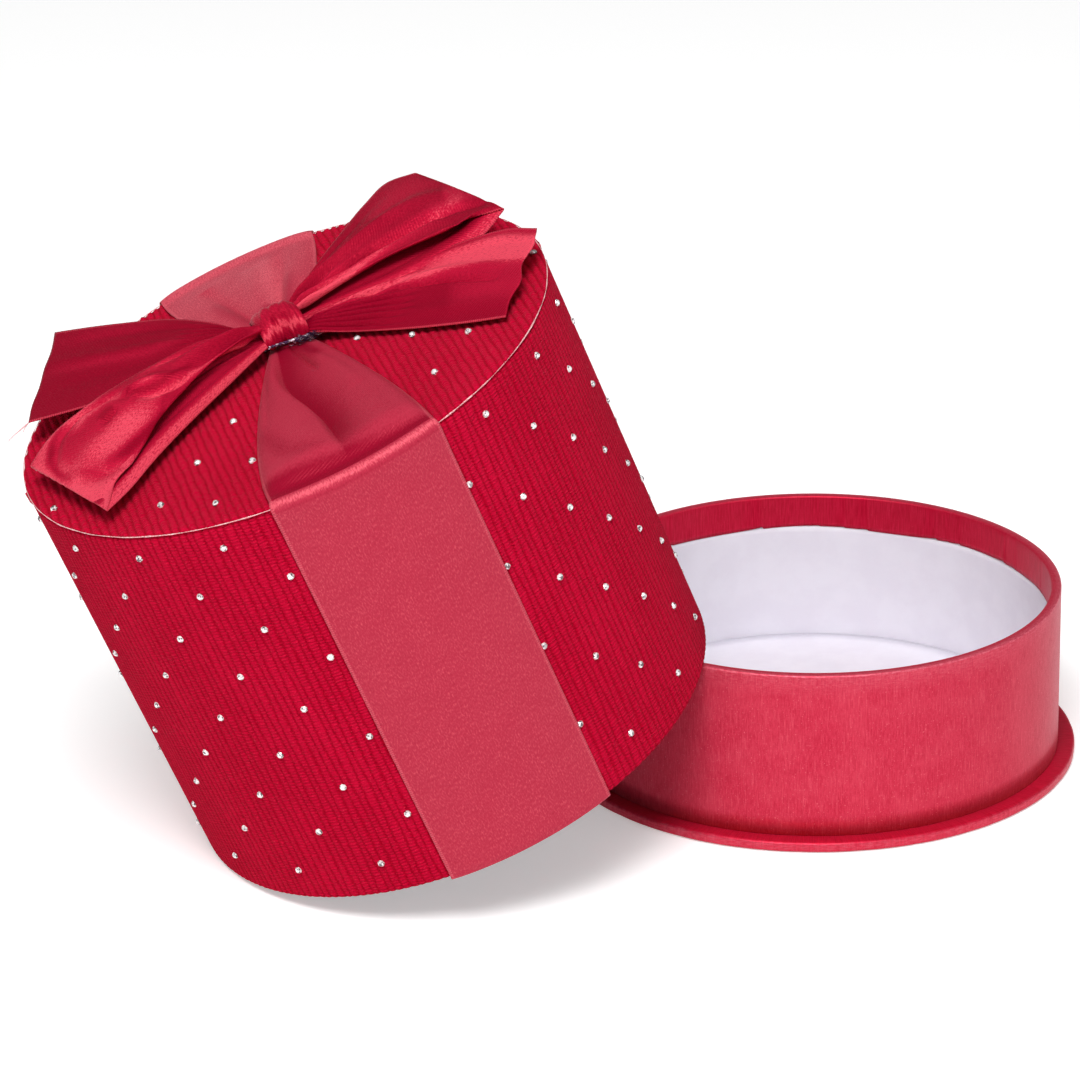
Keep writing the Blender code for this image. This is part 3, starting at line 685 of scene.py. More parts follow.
def makeCoverTop():
    # A round cut of corduroy: each line of points runs along a wale, from edge to edge of the disc
    radius = cover["radius"] - 0.0001
    count = int(2 * radius / wales["topPitch"])
    across = np.linspace(-radius, radius, count * wales["topSamples"] + 1)
    across[0], across[-1] = -radius * 0.99995, radius * 0.99995
    even = np.linspace(-1, 1, wales["topRows"])[:, None]
    x = (0.8 * even + 0.2 * np.sin(even * math.pi / 2)) * np.sqrt(radius ** 2 - across ** 2)
    y = np.broadcast_to(across, x.shape)
    phase = across / wales["topPitch"] + 0.06 * wander(across * 60, 61, 4, 1) + wales["topWaver"] * (
        np.sin(x * 330 + across * 900) + 0.8 * np.sin(x * 610 - across * 1500 + 1))
    whichWale = np.floor(phase)
    lumps = np.sin(x * 1900 + 2.4 * whichWale ** 2) + 0.7 * np.sin(x * 1130 + 5.1 * whichWale)
    ridge = np.sin(math.pi * phase) ** 2 * (
        1 + 0.15 * wander(across * 200, 62, 6, 2) + wales["lumps"] / wales["topDepth"] * lumps)
    toEdge = radius - np.hypot(x, y)
    edgeDrop = 0.0006 * (1 - np.sqrt(np.clip(1 - (1 - np.clip(toEdge / 0.0009, 0, 1)) ** 2, 0, 1)))
    z = cover["height"] + wales["topDepth"] * (ridge - 0.94) - edgeDrop
    turn = math.radians(wales["topTurn"])
    points = together(x * math.cos(turn) - y * math.sin(turn), x * math.sin(turn) + y * math.cos(turn), z)
    cloth = together(phase, x * 1000 / wales["clothPitch"])
    piece = gridPiece("corduroyTop", points, cloth, "corduroy", thickness=0.0008, flip=True)
    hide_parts("cover_fabric_top")


def makeRimThread():
    # The cut edge of the top fabric: an uneven roll of loose ends around the rim, drawn in under the ribbon
    columns = 1080
    angles = np.linspace(0, math.tau, columns + 1)
    turn = np.linspace(0, math.tau, 9)[:, None]
    thin = 0.00011 + 0.00007 * wander(angles, 71, 12, 9) + 0.00006 * wander(angles, 72, 14, 60)
    thin = np.clip(thin, 0.00002, 0.00024)
    middleR = cover["radius"] + 0.00002 + 0.00006 * wander(angles, 73, 12, 20)
    middleZ = cover["height"] - 0.00062 + 0.00007 * wander(angles, 74, 12, 25)
    for heading in (0, math.radians(ribbon["backTurn"])):
        away = np.abs((angles - heading + math.pi) % math.tau - math.pi)
        middleR = middleR - 0.0008 * np.clip((halfAngle - 0.004 - away) / 0.01, 0, 1)
    turnedPiece("rimThread", middleR + thin * np.cos(turn), middleZ + thin * 1.2 * np.sin(turn), columns,
                "rimYarn", roundRows=True)


def makeCoverLining():
    radius, top = cover["inside"] + liningOffset, cover["liningTop"]
    heights = np.linspace(top, cover["turnIn"] - 0.0012, 20)
    makeLining("coverLiningTube", "cover_lining_paper", radius, heights, "coverLining")
    makeDisc("coverLiningTop", "cover_top_lining", radius, top, paper, "coverLining", up=False)


makeCoverWall()
makeCoverTop()
makeRimThread()
makeCoverLining()
print("cover made")


# Satin ribbon up the front, over the top and down the back


def creaseHeights(share, v, reach, creases):
    # Each crease or ridge runs along a broken line of places, given as shares of the reach and of the width.
    # Its height falls off with the square of the distance from the line, and fades at the line's two ends.
    place = together(share * reach, v * ribbon["width"])
    total = np.zeros(place.shape[:2])
    for line, height, width in creases:
        line = np.array(line) * (reach, ribbon["width"])
        steps = np.diff(line, axis=0)
        lengths = np.linalg.norm(steps, axis=1)
        nearest = np.full(total.shape, 1.0)
        along = np.zeros(total.shape)
        for start, step, length, before in zip(line, steps, lengths, np.cumsum(lengths) - lengths):
            t = np.clip((place - start) @ step / length ** 2, 0, 1)
            gap = np.linalg.norm(place - start - t[..., None] * step, axis=-1)
            along = np.where(gap < nearest, (before + t * length) / lengths.sum(), along)
            nearest = np.minimum(gap, nearest)
        total += height * np.exp(-(nearest / width) ** 2) * np.sqrt(np.clip(4 * along * (1 - along), 0, 1))
    return total


def clothOf(points, v):
    # Pattern coordinates in millimetres: the length along the middle line, and the place across the ribbon
    length = lengthAlong(points[:, points.shape[1] // 2])
    return together(length[:, None], (v - 0.5) * ribbon["width"]) * 1000


def satinPiece(name, points, cloth, stuff, paintedLight, thickness=0.0003, roundRows=False):
    # A sheet of ribbon, with the painted highlight and shade of its satin at each point
    piece = gridPiece(name, points, cloth, stuff, roundRows, thickness=thickness, offset=0.0)
    markPoints(piece, "paintedLight", np.clip(paintedLight, 0, 1))
    return piece


# How high each half of the ribbon puffs up along and across the top, with its creases and its painted
# highlight and shade
frontPuff = {
    "height": 0.0044,
    "along": (0, 0.08, 0.22, 0.45, 0.7, 0.82, 0.89, 0.93, 0.958, 1.0),
    "rise": (0.0, 0.16, 0.52, 0.92, 1.0, 0.97, 0.84, 0.44, 0.0, 0.0),
    "across": (-1.0, -0.93, -0.72, -0.36, 0.0, 0.36, 0.72, 0.93, 1.0),
    "profile": (0.0, 0.4, 0.84, 0.98, 0.9, 0.92, 0.84, 0.44, 0.0),
    "split": {"along": (0.0, 0.038, 0.33, 0.465, 0.58, 0.9), "across": (0.2, 0.23, 0.31, 0.39, 0.46, 0.5),
              "depth": 0.95, "near": 0.0012, "far": 0.0065, "last": 0.93,
              "shade": 0.50, "shadeNear": 0.0005, "shadeFar": 0.0075},
    "creases": [
        (((0.038, 0.1), (0.33, 0.2), (0.55, 0.32), (0.9, 0.36)), 0.001, 0.004),
        (((0.0, 0.45), (0.148, 0.58), (0.34, 0.665)), -0.0018, 0.0016),
        (((0.1, 0.66), (0.35, 0.78), (0.6, 0.8)), 0.0008, 0.003),
        (((0.08, 0.05), (0.4, 0.1), (0.6, 0.12)), -0.0005, 0.002)],
    # Front painted light: a middling base, painted shade in the valley before the rim, and a painted
    # highlight on the rim's roll
    "paintedLightBase": 0.46, "valley": (0.9, 0.03), "rimPaintedLight": -0.05, "rollPaintedLight": 0.3,
    # Painted shade beside the knot and along the right edge
    "paintedLight": [
        (((-0.05, 0.6), (0.12, 0.72), (0.26, 0.8)), -0.4, 0.004),
        (((0.55, 0.02), (0.8, 0.2), (0.88, 0.42)), -0.22, 0.0035)],
}
rearPuff = {
    "height": 0.0026,
    "along": (0, 0.08, 0.25, 0.45, 0.7, 0.86, 0.95, 1.0),
    "rise": (0.0, 0.2, 0.7, 1.0, 0.85, 0.5, 0.1, 0.0),
    "across": (-1.0, -0.9, -0.6, -0.2, 0.2, 0.6, 0.9, 1.0),
    "profile": (0.0, 0.45, 0.9, 0.98, 0.98, 0.9, 0.45, 0.0),
    "creases": [
        (((0.0, 0.5), (0.3, 0.66), (0.6, 0.74), (0.92, 0.78)), -0.0014, 0.0026),
        (((0.0, 0.42), (0.3, 0.34), (0.6, 0.28), (0.8, 0.25)), -0.0012, 0.0024),
        (((0.05, 0.5), (0.35, 0.52), (0.8, 0.55)), 0.0007, 0.004),
        (((0.05, 0.75), (0.3, 0.88), (0.5, 0.92)), -0.0007, 0.0018)],
    # Rear painted light: a painted sheen all over, lighter at the rim, with painted shade along the folds
    # from the knot
    "paintedLightBase": 0.66, "valley": (0.9, 0.0), "rimPaintedLight": 0.8, "rollPaintedLight": 0.55,
    "paintedLight": [
        (((-0.1, 0.48), (0.1, 0.52), (0.34, 0.56)), -0.7, 0.0046),
        (((0.05, 0.34), (0.3, 0.26), (0.62, 0.22)), -0.34, 0.003),
        (((0.05, 0.66), (0.3, 0.76), (0.6, 0.8)), -0.3, 0.0024),
        (((0.1, 0.6), (0.45, 0.66), (0.85, 0.66)), 0.2, 0.004)],
}
rimRoll = {"radius": 0.0025, "standOff": 0.0012, "settle": 0.005, "from": 0.93, "overlap": 0.0006}
# The wall band's painted light, a little lighter than the top's
wallPaintedLight = 0.56


def splitPuff(split, share, v, spread):
    # One side of the puff hangs over a crease and the other rises slowly away from it: how low the puff is
    # there, and how much painted shade it gets beside the crease
    width = ribbon["gatherWidth"] + (ribbon["width"] - ribbon["gatherWidth"]) * spread
    gap = ((v + 1) / 2 - tableCurve(share, split["along"], split["across"])) * width
    close = np.where(gap < 0, np.exp(-(gap / split["near"]) ** 2), np.exp(-np.abs(gap) / split["far"]))
    low = split["depth"] * close * eased(share, 0, 0.06) * eased(share, split["last"], split["last"] - 0.22)
    # Painted shade, deepest just past the crease and fading on the side that rises slowly
    dark = np.where(gap < 0, np.exp(-(gap / split["shadeNear"]) ** 2),
                    np.exp(-(np.abs(gap) / split["shadeFar"]) ** 1.4))
    return low, split["shade"] * eased(share, 0, 0.03) * eased(share, 1.0, 0.8) * dark


def halfRibbon(heading, side, puff):
    # From the knot over the top to the rim, in a soft roll over the rim, down the wall, and turned in at the
    # mouth
    along, across = headingAxes(heading)
    forwardKnot, sidewaysKnot = knotFoot[:2] @ along, knotFoot[:2] @ across
    v = np.linspace(-1, 1, 97)
    angles = side * v * halfAngle
    radius, height, roll = cover["radius"], cover["height"], rimRoll["radius"]
    rollOut = rimRoll["standOff"] - roll
    offset = ribbon["offset"] - ribbon["edgeSink"] * np.abs(v) ** 12
    extra = (rimRoll["standOff"] - ribbon["offset"]) * (1 - 0.5 * np.abs(v) ** 8)
    share = np.linspace(0, 1, 101)[:, None] ** 0.9
    spread = 1 - (1 - share) ** ribbon["bulge"]
    forward = forwardKnot + ((radius + rollOut) * np.cos(angles) - forwardKnot) * share
    sideways = sidewaysKnot * (1 - spread) + (radius + rollOut) * np.sin(angles) * spread
    flat = forward[..., None] * along + sideways[..., None] * across
    flat[..., 1] += v * ribbon["gatherWidth"] / 2 * (1 - spread)
    rise = tableCurve(share, puff["along"], puff["rise"]) * tableCurve(v, puff["across"], puff["profile"])
    low, dark = splitPuff(puff["split"], share, v, spread) if "split" in puff else (0, 0)
    rise = puff["height"] * rise * (1 - low)
    reach = radius - forwardKnot
    folds = creaseHeights(share, (v + 1) / 2, reach, puff["creases"]) * (1 - v ** 8)
    gathered = (levels["gather"] - offset) * (1 - share) ** 2
    nearRim = eased(share, rimRoll["from"], 1)
    puffed = np.maximum(rise + folds * np.clip(rise / 0.002, 0.4, 1), -gathered * 0.6 - 0.0001)
    level = offset + gathered + puffed + extra * nearRim ** 2 * (3 - 2 * nearRim)
    top = np.concatenate((flat, (height + level)[..., None]), axis=-1)
    bend = np.radians(np.linspace(84, 0, 15))[:, None]
    sink = rimRoll["standOff"] - offset - extra
    wallStart = height + rollOut - rimRoll["overlap"]
    wallHeight = np.linspace(wallStart, 0.0, 46)[:, None] + 0 * v
    turnHeight = np.linspace(0.0012, ribbon["turnIn"], 4)[:, None] + 0 * v
    settle = np.exp(-(wallStart - wallHeight) / rimRoll["settle"])
    under = np.radians(np.linspace(0, -80, 6))[1:, None]
    inside = np.radians(np.linspace(-90, -180, 6))[:, None]
    radii, heights = joined(
        (radius + rollOut + roll * np.cos(bend) - sink, height + rollOut + roll * np.sin(bend) - sink),
        (radius + offset + extra * settle, wallHeight),
        (radius + offset * np.cos(under), offset * np.sin(under)),
        (cover["mouth"] + offset * np.cos(inside), offset * np.sin(inside)),
        (cover["mouth"] - offset + 0 * turnHeight, turnHeight))
    wall = turnedPoints(radii, math.radians(heading) + angles, heights)
    points = np.concatenate((top, wall))
    # Painted light on the top: the base value gives way to the rim value past the valley
    fade = np.clip((share - puff["valley"][0] - puff["valley"][1] * v) / 0.05, 0, 1)
    paintedStreaks = creaseHeights(share, (v + 1) / 2, reach, puff["paintedLight"])
    # Painted streaks of highlight and shade are added, and the crease's painted shade taken off
    topPaintedLight = puff["paintedLightBase"] * (1 - fade) + puff["rimPaintedLight"] * fade + paintedStreaks - dark
    # A painted highlight across the middle of the roll over the rim, and the wall's painted light below it
    rollPaintedLight = puff["rollPaintedLight"] + wallPaintedLight * np.exp(-((bend - 0.85) / 0.55) ** 2) + 0 * v
    plain = np.full((len(wall) - len(bend), len(v)), wallPaintedLight)
    return points, clothOf(points, 0.5 + side * v / 2), np.concatenate((topPaintedLight, rollPaintedLight, plain))


def makeWrapRibbon():
    # The front half, backwards, and then the rear half make one ribbon from mouth to mouth
    front, frontCloth, frontPaintedLight = halfRibbon(0.0, 1, frontPuff)
    rear, rearCloth, rearPaintedLight = halfRibbon(ribbon["backTurn"], -1, rearPuff)
    points, cloth = joined((front[::-1], frontCloth[::-1]), (rear[1:], -rearCloth[1:]))
    paintedLight = np.concatenate((frontPaintedLight[::-1], rearPaintedLight[1:]))
    piece = satinPiece("wrapRibbon", points, cloth, "satinWrap", paintedLight)
    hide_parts("wrap_ribbon")


makeWrapRibbon()
print("ribbon made")


# Bow

# Each list of seven runs along a sheet, at alongShares of its reach: its edges are in ribbon widths, and its
# heights in shares of bowRise. Creases and painted light are lines, each with a height or a lightness and a
# width: a positive lightness is a painted highlight, a negative one painted shade.
alongShares = (0.0, 0.1, 0.3, 0.5, 0.7, 0.88, 1.0)
bowRise = 0.0125
leftLoop = {
    "heading": -70.2, "reach": 0.0748, "slant": -0.05,
    "backEdge": (-0.05, -0.06, -0.135, -0.21, -0.34, -0.43, -0.41),
    "frontEdge": (0.05, 0.06, 0.1, 0.17, 0.28, 0.42, 0.51),
    "lip": (0.8, 0.77, 0.78, 0.83, 0.91, 0.97, 1.0),
    "topBack": (0.0, 0.0, 0.3, 0.4, 0.28, 0.04, -0.18),
    "topMiddle": (0.0, 0.04, 0.336, 0.391, 0.244, 0.002, -0.22),
    "topFront": (0.0, -0.02, 0.056, 0.01, -0.116, -0.238, -0.32),
    "lowBack": (0.0, -0.02, -0.06, -0.1, -0.14, -0.12, -0.04),
    "lowFront": (0.0, -0.04, -0.14, -0.18, -0.18, -0.14, -0.04),
    "lowMiddle": (0.0, 0.06, 0.24, 0.28, 0.24, 0.1, 0.0),
    "creases": [
        (((0.4, 0.8), (0.47, 0.74), (0.55, 0.6), (0.6, 0.42)), -0.0013, 0.0016),
        (((0.36, 0.8), (0.46, 0.6), (0.54, 0.34), (0.62, 0.22)), 0.0012, 0.0022),
        (((0.6, 0.42), (0.65, 0.16), (0.76, 0.06), (0.88, 0.12), (0.96, 0.26), (0.97, 0.45)),
         -0.0012, 0.0017),
        (((0.67, 0.4), (0.71, 0.4), (0.75, 0.4)), -0.001, 0.0017),
        (((0.1, 0.3), (0.3, 0.28), (0.5, 0.15)), -0.0007, 0.0018),
        (((0.62, 0.92), (0.72, 0.86), (0.84, 0.8), (0.95, 0.7)), -0.001, 0.0024),
        (((0.78, 0.45), (0.86, 0.5), (0.96, 0.6)), 0.0007, 0.004)],
    "topPleats": (0.8, 2.5, 0.4, 0.45), "lowPleats": (4.6, 12.0, 1.2, 1.5), "lowEdge": (0, 0, 0, 0, 0, 0, 0),
    "paintedLight": [
        (((0.05, 0.62), (0.2, 0.8), (0.31, 0.82), (0.43, 0.77), (0.52, 0.66), (0.6, 0.46)), 0.62, 0.0022),
        (((0.16, 0.2), (0.34, 0.3), (0.52, 0.12)), 0.5, 0.004),
        (((0.62, -0.06), (0.76, -0.02), (0.92, -0.1)), 0.6, 0.006),
        (((0.56, 0.8), (0.71, 0.62), (0.84, 0.56), (0.92, 0.6)), 0.7, 0.0085),
        (((0.6, 0.3), (0.66, 0.18), (0.76, 0.14), (0.84, 0.22)), 0.6, 0.003),
        (((0.84, -0.1), (1.0, 0.1), (1.0, 0.5), (1.0, 1.2)), 0.75, 0.0055),
        (((0.7, 1.0), (0.86, 0.88), (1.04, 0.84)), 0.65, 0.006),
        (((0.49, 0.5), (0.54, 0.4), (0.6, 0.3)), 0.45, 0.0018),
        (((0.36, 0.66), (0.45, 0.62), (0.52, 0.58), (0.57, 0.42), (0.61, 0.24)), -0.45, 0.0014),
        (((0.68, 0.34), (0.71, 0.34), (0.74, 0.35)), -0.75, 0.0022),
        (((0.82, 0.02), (0.9, 0.08), (0.96, 0.18), (0.98, 0.34), (0.98, 0.55)), -0.55, 0.0014),
        (((0.56, 0.88), (0.66, 0.84), (0.76, 0.78), (0.86, 0.7)), -0.65, 0.002)],
    "paintedLightBase": (0.24, 0.3),
}
rightLoop = {
    "heading": 104.5, "reach": 0.0625, "slant": -0.03,
    "backEdge": (-0.05, -0.06, -0.12, -0.22, -0.36, -0.46, -0.42),
    "frontEdge": (0.05, 0.06, 0.15, 0.27, 0.38, 0.45, 0.46),
    "lip": (1.0, 1.0, 1.0, 1.0, 1.0, 1.0, 1.0),
    "topBack": (0.0, 0.0, 0.24, 0.38, 0.4, 0.36, 0.26),
    "topMiddle": (0.0, 0.0, 0.26, 0.42, 0.44, 0.34, 0.2),
    "topFront": (0.0, -0.02, 0.04, 0.12, 0.12, 0.08, 0.02),
    "lowBack": (0.0, 0.0, 0.14, 0.26, 0.38, 0.46, 0.52),
    "lowFront": (0.0, 0.0, 0.0, 0.0, 0.02, 0.12, 0.28),
    "lowMiddle": (0.0, 0.04, 0.16, 0.2, 0.16, 0.06, 0.0),
    "creases": [
        (((0.08, 0.3), (0.35, 0.4), (0.6, 0.4), (0.8, 0.42), (0.96, 0.5)), 0.0017, 0.0032),
        (((0.15, 0.55), (0.35, 0.62), (0.56, 0.64), (0.77, 0.63), (0.88, 0.7), (1.02, 0.86)),
         -0.0026, 0.0019),
        (((0.25, 0.84), (0.5, 0.87), (0.75, 0.86), (1.0, 0.94)), 0.0013, 0.002),
        (((0.2, 0.12), (0.5, 0.14), (0.8, 0.1)), -0.0007, 0.003)],
    "topPleats": (0.8, 3.5, 1.7, 0.4), "lowPleats": (3.2, 12.0, 0.3, 1.5),
    "lowEdge": (0, 0.01, 0.07, 0.12, 0.11, 0.05, 0),
    "paintedLight": [
        (((0.02, 0.6), (0.16, 0.9), (0.3, 0.83), (0.53, 0.68), (0.68, 0.66), (0.83, 0.62),
         (1.06, 0.66)), 0.62, 0.003),
        (((-0.1, 0.8), (0.1, 0.84), (0.4, 0.72)), 0.85, 0.0085),
        (((0.92, 0.5), (1.0, 0.56)), 0.4, 0.006),
        (((0.6, 0.3), (0.8, 0.25), (0.98, 0.2)), 0.28, 0.008),
        (((0.3, 0.98), (0.5, 0.94), (0.7, 0.92), (0.9, 0.92)), 0.3, 0.0022)],
    "paintedLightBase": (0.14, 0.08),
}
leftTail = {
    "heading": -121.5, "reach": 0.0718, "slant": 0.11,
    "backEdge": (-0.05, -0.06, -0.24, -0.36, -0.42, -0.47, -0.5),
    "frontEdge": (0.05, 0.06, 0.14, 0.26, 0.38, 0.46, 0.5),
    "back": (0.0, 0.0, 0.12, 0.24, 0.3, 0.32, 0.32),
    "middle": (0.0, 0.0, 0.1, 0.18, 0.22, 0.24, 0.26),
    "front": (0.0, 0.0, -0.04, 0.04, 0.14, 0.24, 0.3),
    "creases": [
        (((0.25, 0.45), (0.68, 0.39), (1.0, 0.32)), 0.0005, 0.003),
        (((0.2, 0.2), (0.5, 0.16), (0.9, 0.14)), -0.0004, 0.0026),
        (((0.3, 0.6), (0.6, 0.62), (0.95, 0.66)), -0.0004, 0.004)],
    "cut": (0.0, -0.004, 0.006, 0.004, 0.01, 0.0), "pleats": (2.3, 9.5, 2.4, 0.46),
    "paintedLight": [
        (((0.4, 0.36), (0.55, 0.5), (0.75, 0.46), (1.0, 0.44)), 0.24, 0.003),
        (((0.5, 0.06), (0.8, 0.1), (1.0, 0.12)), 0.14, 0.004)],
    "paintedLightBase": 0.06,
}
rightTail = {
    "heading": 60.0, "reach": 0.0702, "slant": 0.07,
    "backEdge": (-0.05, -0.06, -0.18, -0.3, -0.39, -0.39, -0.31),
    "frontEdge": (0.05, 0.06, 0.11, 0.2, 0.28, 0.34, 0.37),
    "back": (0.0, 0.0, 0.14, 0.24, 0.28, 0.3, 0.3),
    "middle": (0.0, 0.0, 0.04, 0.05, 0.06, 0.06, 0.06),
    "front": (0.0, 0.0, -0.16, -0.19, -0.2, -0.2, -0.2),
    "creases": [
        (((0.3, 0.3), (0.48, 0.36), (0.7, 0.46), (0.9, 0.56)), -0.0016, 0.0014),
        (((0.25, 0.24), (0.48, 0.26), (0.7, 0.34), (0.92, 0.42)), 0.0009, 0.0022),
        (((0.3, 0.75), (0.6, 0.8), (1.0, 0.82)), 0.0005, 0.004),
        (((0.5, 0.08), (0.8, 0.1), (1.05, 0.12)), 0.0006, 0.002)],
    "cut": (0.0, 0.012, -0.01, 0.012, -0.006, 0.0), "pleats": (2.9, 9.5, 0.9, 0.58),
    "paintedLight": [
        (((0.3, 0.26), (0.48, 0.27), (0.6, 0.29), (0.8, 0.29), (1.1, 0.28)), 0.7, 0.0024),
        (((0.46, 0.2), (0.66, 0.2), (0.85, 0.2), (1.35, 0.24)), 1.0, 0.009),
        (((-0.05, 0.4), (0.12, 0.3), (0.3, 0.2), (0.48, 0.16)), 0.8, 0.0055),
        (((0.7, 0.66), (0.88, 0.62), (1.1, 0.66)), 0.34, 0.009)],
    "paintedLightBase": 0.06,
}
pinch = {"from": 0.05, "full": 0.17}
curled = {"from": 0.86, "back": 0.22, "drop": 0.0014}


def lineOf(shape, key, share):
    # One of a sheet's lists, as a smooth curve along it
    return tableCurve(share, alongShares, shape[key])


def gatherPleats(share, v, shape, gather):
    # Waves across the ribbon take up part of the width that its narrow place by the knot hides. They start
    # where the sheet leaves the knot and ease out towards its end.
    width = lineOf(shape, "frontEdge", share) - lineOf(shape, "backEdge", share)
    hidden = ribbon["width"] * np.sqrt(np.clip(1 - width ** 2, 0, None))
    strength, pleats, phase, last = gather
    start = eased(share, pinch["from"], pinch["full"])
    fade = start * start * (3 - 2 * start) * eased(share, last, 0)
    wave = np.sin(math.tau * pleats * v + phase + 0.8 * np.sin(math.tau * v + phase))
    return strength * hidden / (4 * pleats) * fade * wave * np.sin(math.pi * v) ** 0.6


def bowSheet(shape, share, heights, acrossSteps, narrower=1.0, wider=0.0, curl=0.0):
    # Points whose edges run along the heading, while three heights bend them across. Where the front edge is
    # drawn in, the last part of the cloth curls under it.
    v = np.linspace(0, 1, acrossSteps + 1)
    along, across = headingAxes(shape["heading"])
    if across[0] < 0:
        across = -across
    back = lineOf(shape, "backEdge", share) * ribbon["width"]
    front = lineOf(shape, "frontEdge", share) * ribbon["width"]
    front = back + (front - back) * narrower + wider * ribbon["width"]
    under = eased(v, curled["from"], 1)
    curl = np.broadcast_to(np.asarray(curl), share.shape)[:, None]
    bent = np.where(v < curled["from"], v / curled["from"], 1 - curled["back"] * under ** 1.3)
    place = v * (1 - curl) + curl * bent
    sideways = back[:, None] + (front - back)[:, None] * place
    low, middle, high = (height[:, None] for height in heights)
    ends = low * (1 - place) * (1 - 2 * place) + high * place * (2 * place - 1)
    level = ends + middle * 4 * place * (1 - place) - curled["drop"] * curl * np.sqrt(under)
    forward = 0.0003 + share[:, None] * (shape["reach"] - 0.0003) * (1 - shape["slant"] * (place - 0.5))
    flat = forward[..., None] * along + sideways[..., None] * across
    return np.concatenate((flat, level[..., None]), axis=-1) + knotFoot, v


def makeLoop(name, node, shape):
    # Out along the upper layer and back along the lower one, with a creased nose between them
    turn = np.linspace(0, math.pi, 181)
    share = np.sin(turn)
    opening = np.sign(np.cos(turn)) * np.abs(np.cos(turn)) ** 0.4
    topBack, topMiddle, topFront, lowBack, lowMiddle, lowFront = (
        lineOf(shape, key, share) * bowRise
        for key in ("topBack", "topMiddle", "topFront", "lowBack", "lowMiddle", "lowFront"))
    tops = [levels["loopTop"] + line for line in (topBack, topMiddle, topFront)]
    lows = [levels["loopLow"] + line for line in (lowBack, (lowBack + lowFront) / 2 + lowMiddle, lowFront)]
    heights = [(top + low) / 2 + (top - low) / 2 * opening for top, low in zip(tops, lows)]
    up, down = np.clip(opening, 0, 1), np.clip(-opening, 0, 1)
    narrower = 1 - (1 - lineOf(shape, "lip", share)) * up
    wider = lineOf(shape, "lowEdge", share) * down
    points, v = bowSheet(shape, share, heights, 72, narrower, wider, up * eased(share, 1, 0.8))
    share, up, down = share[:, None], up[:, None], down[:, None]
    points[..., 2] += up ** 0.5 * (creaseHeights(share, v, shape["reach"], shape["creases"])
                                   + gatherPleats(share, v, shape, shape["topPleats"]))
    calm = 1 - eased(v, 0.38, 0.54)
    points[..., 2] += down ** 0.5 * (gatherPleats(share, v, shape, shape["lowPleats"]) * calm
                                     + 0.0014 * np.sin(math.pi * eased(v, 0.80, 1)) * eased(share, 0, 0.1))
    # Painted light: the upper layer takes its painted highlights and shade from the lines, the lower layer a
    # dim base with a painted highlight along its rolled front edge
    topPaintedLight = shape["paintedLightBase"][0] + creaseHeights(share, v, shape["reach"], shape["paintedLight"])
    lowPaintedLight = shape["paintedLightBase"][1] + 0.55 * eased(v, 0.90, 0.94)
    piece = satinPiece(name, points, clothOf(points, v), "satinBow", np.where(up > 0, topPaintedLight, lowPaintedLight))
    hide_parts(node)
    return points


def makeTail(name, node, shape):
    # One layer from the knot to its cut end, whose edge wavers
    share = np.linspace(0, 1, 91)
    heights = [levels["tail"] + lineOf(shape, key, share) * bowRise for key in ("back", "middle", "front")]
    points, v = bowSheet(shape, share, heights, 60)
    share = share[:, None]
    cut = tableCurve(v, np.linspace(0, 1, len(shape["cut"])), shape["cut"])
    points[..., :2] += (share ** 6 * shape["reach"] * cut)[..., None] * headingAxes(shape["heading"])[0]
    points[..., 2] += creaseHeights(share, v, shape["reach"], shape["creases"])
    points[..., 2] += gatherPleats(share, v, shape, shape["pleats"])
    # Painted light along the tail: a dim base with painted highlight lines
    paintedLight = shape["paintedLightBase"] + creaseHeights(share, v, shape["reach"], shape["paintedLight"])
    piece = satinPiece(name, points, clothOf(points, v), "satinBow", paintedLight)
    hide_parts(node)
    return points


knotLook = {"margin": 0.0006, "upper": 0.74, "squared": 0.86, "pleat": 0.00026, "wrinkle": 0.00016,
            "taper": 0.0014, "hump": 0.0022}


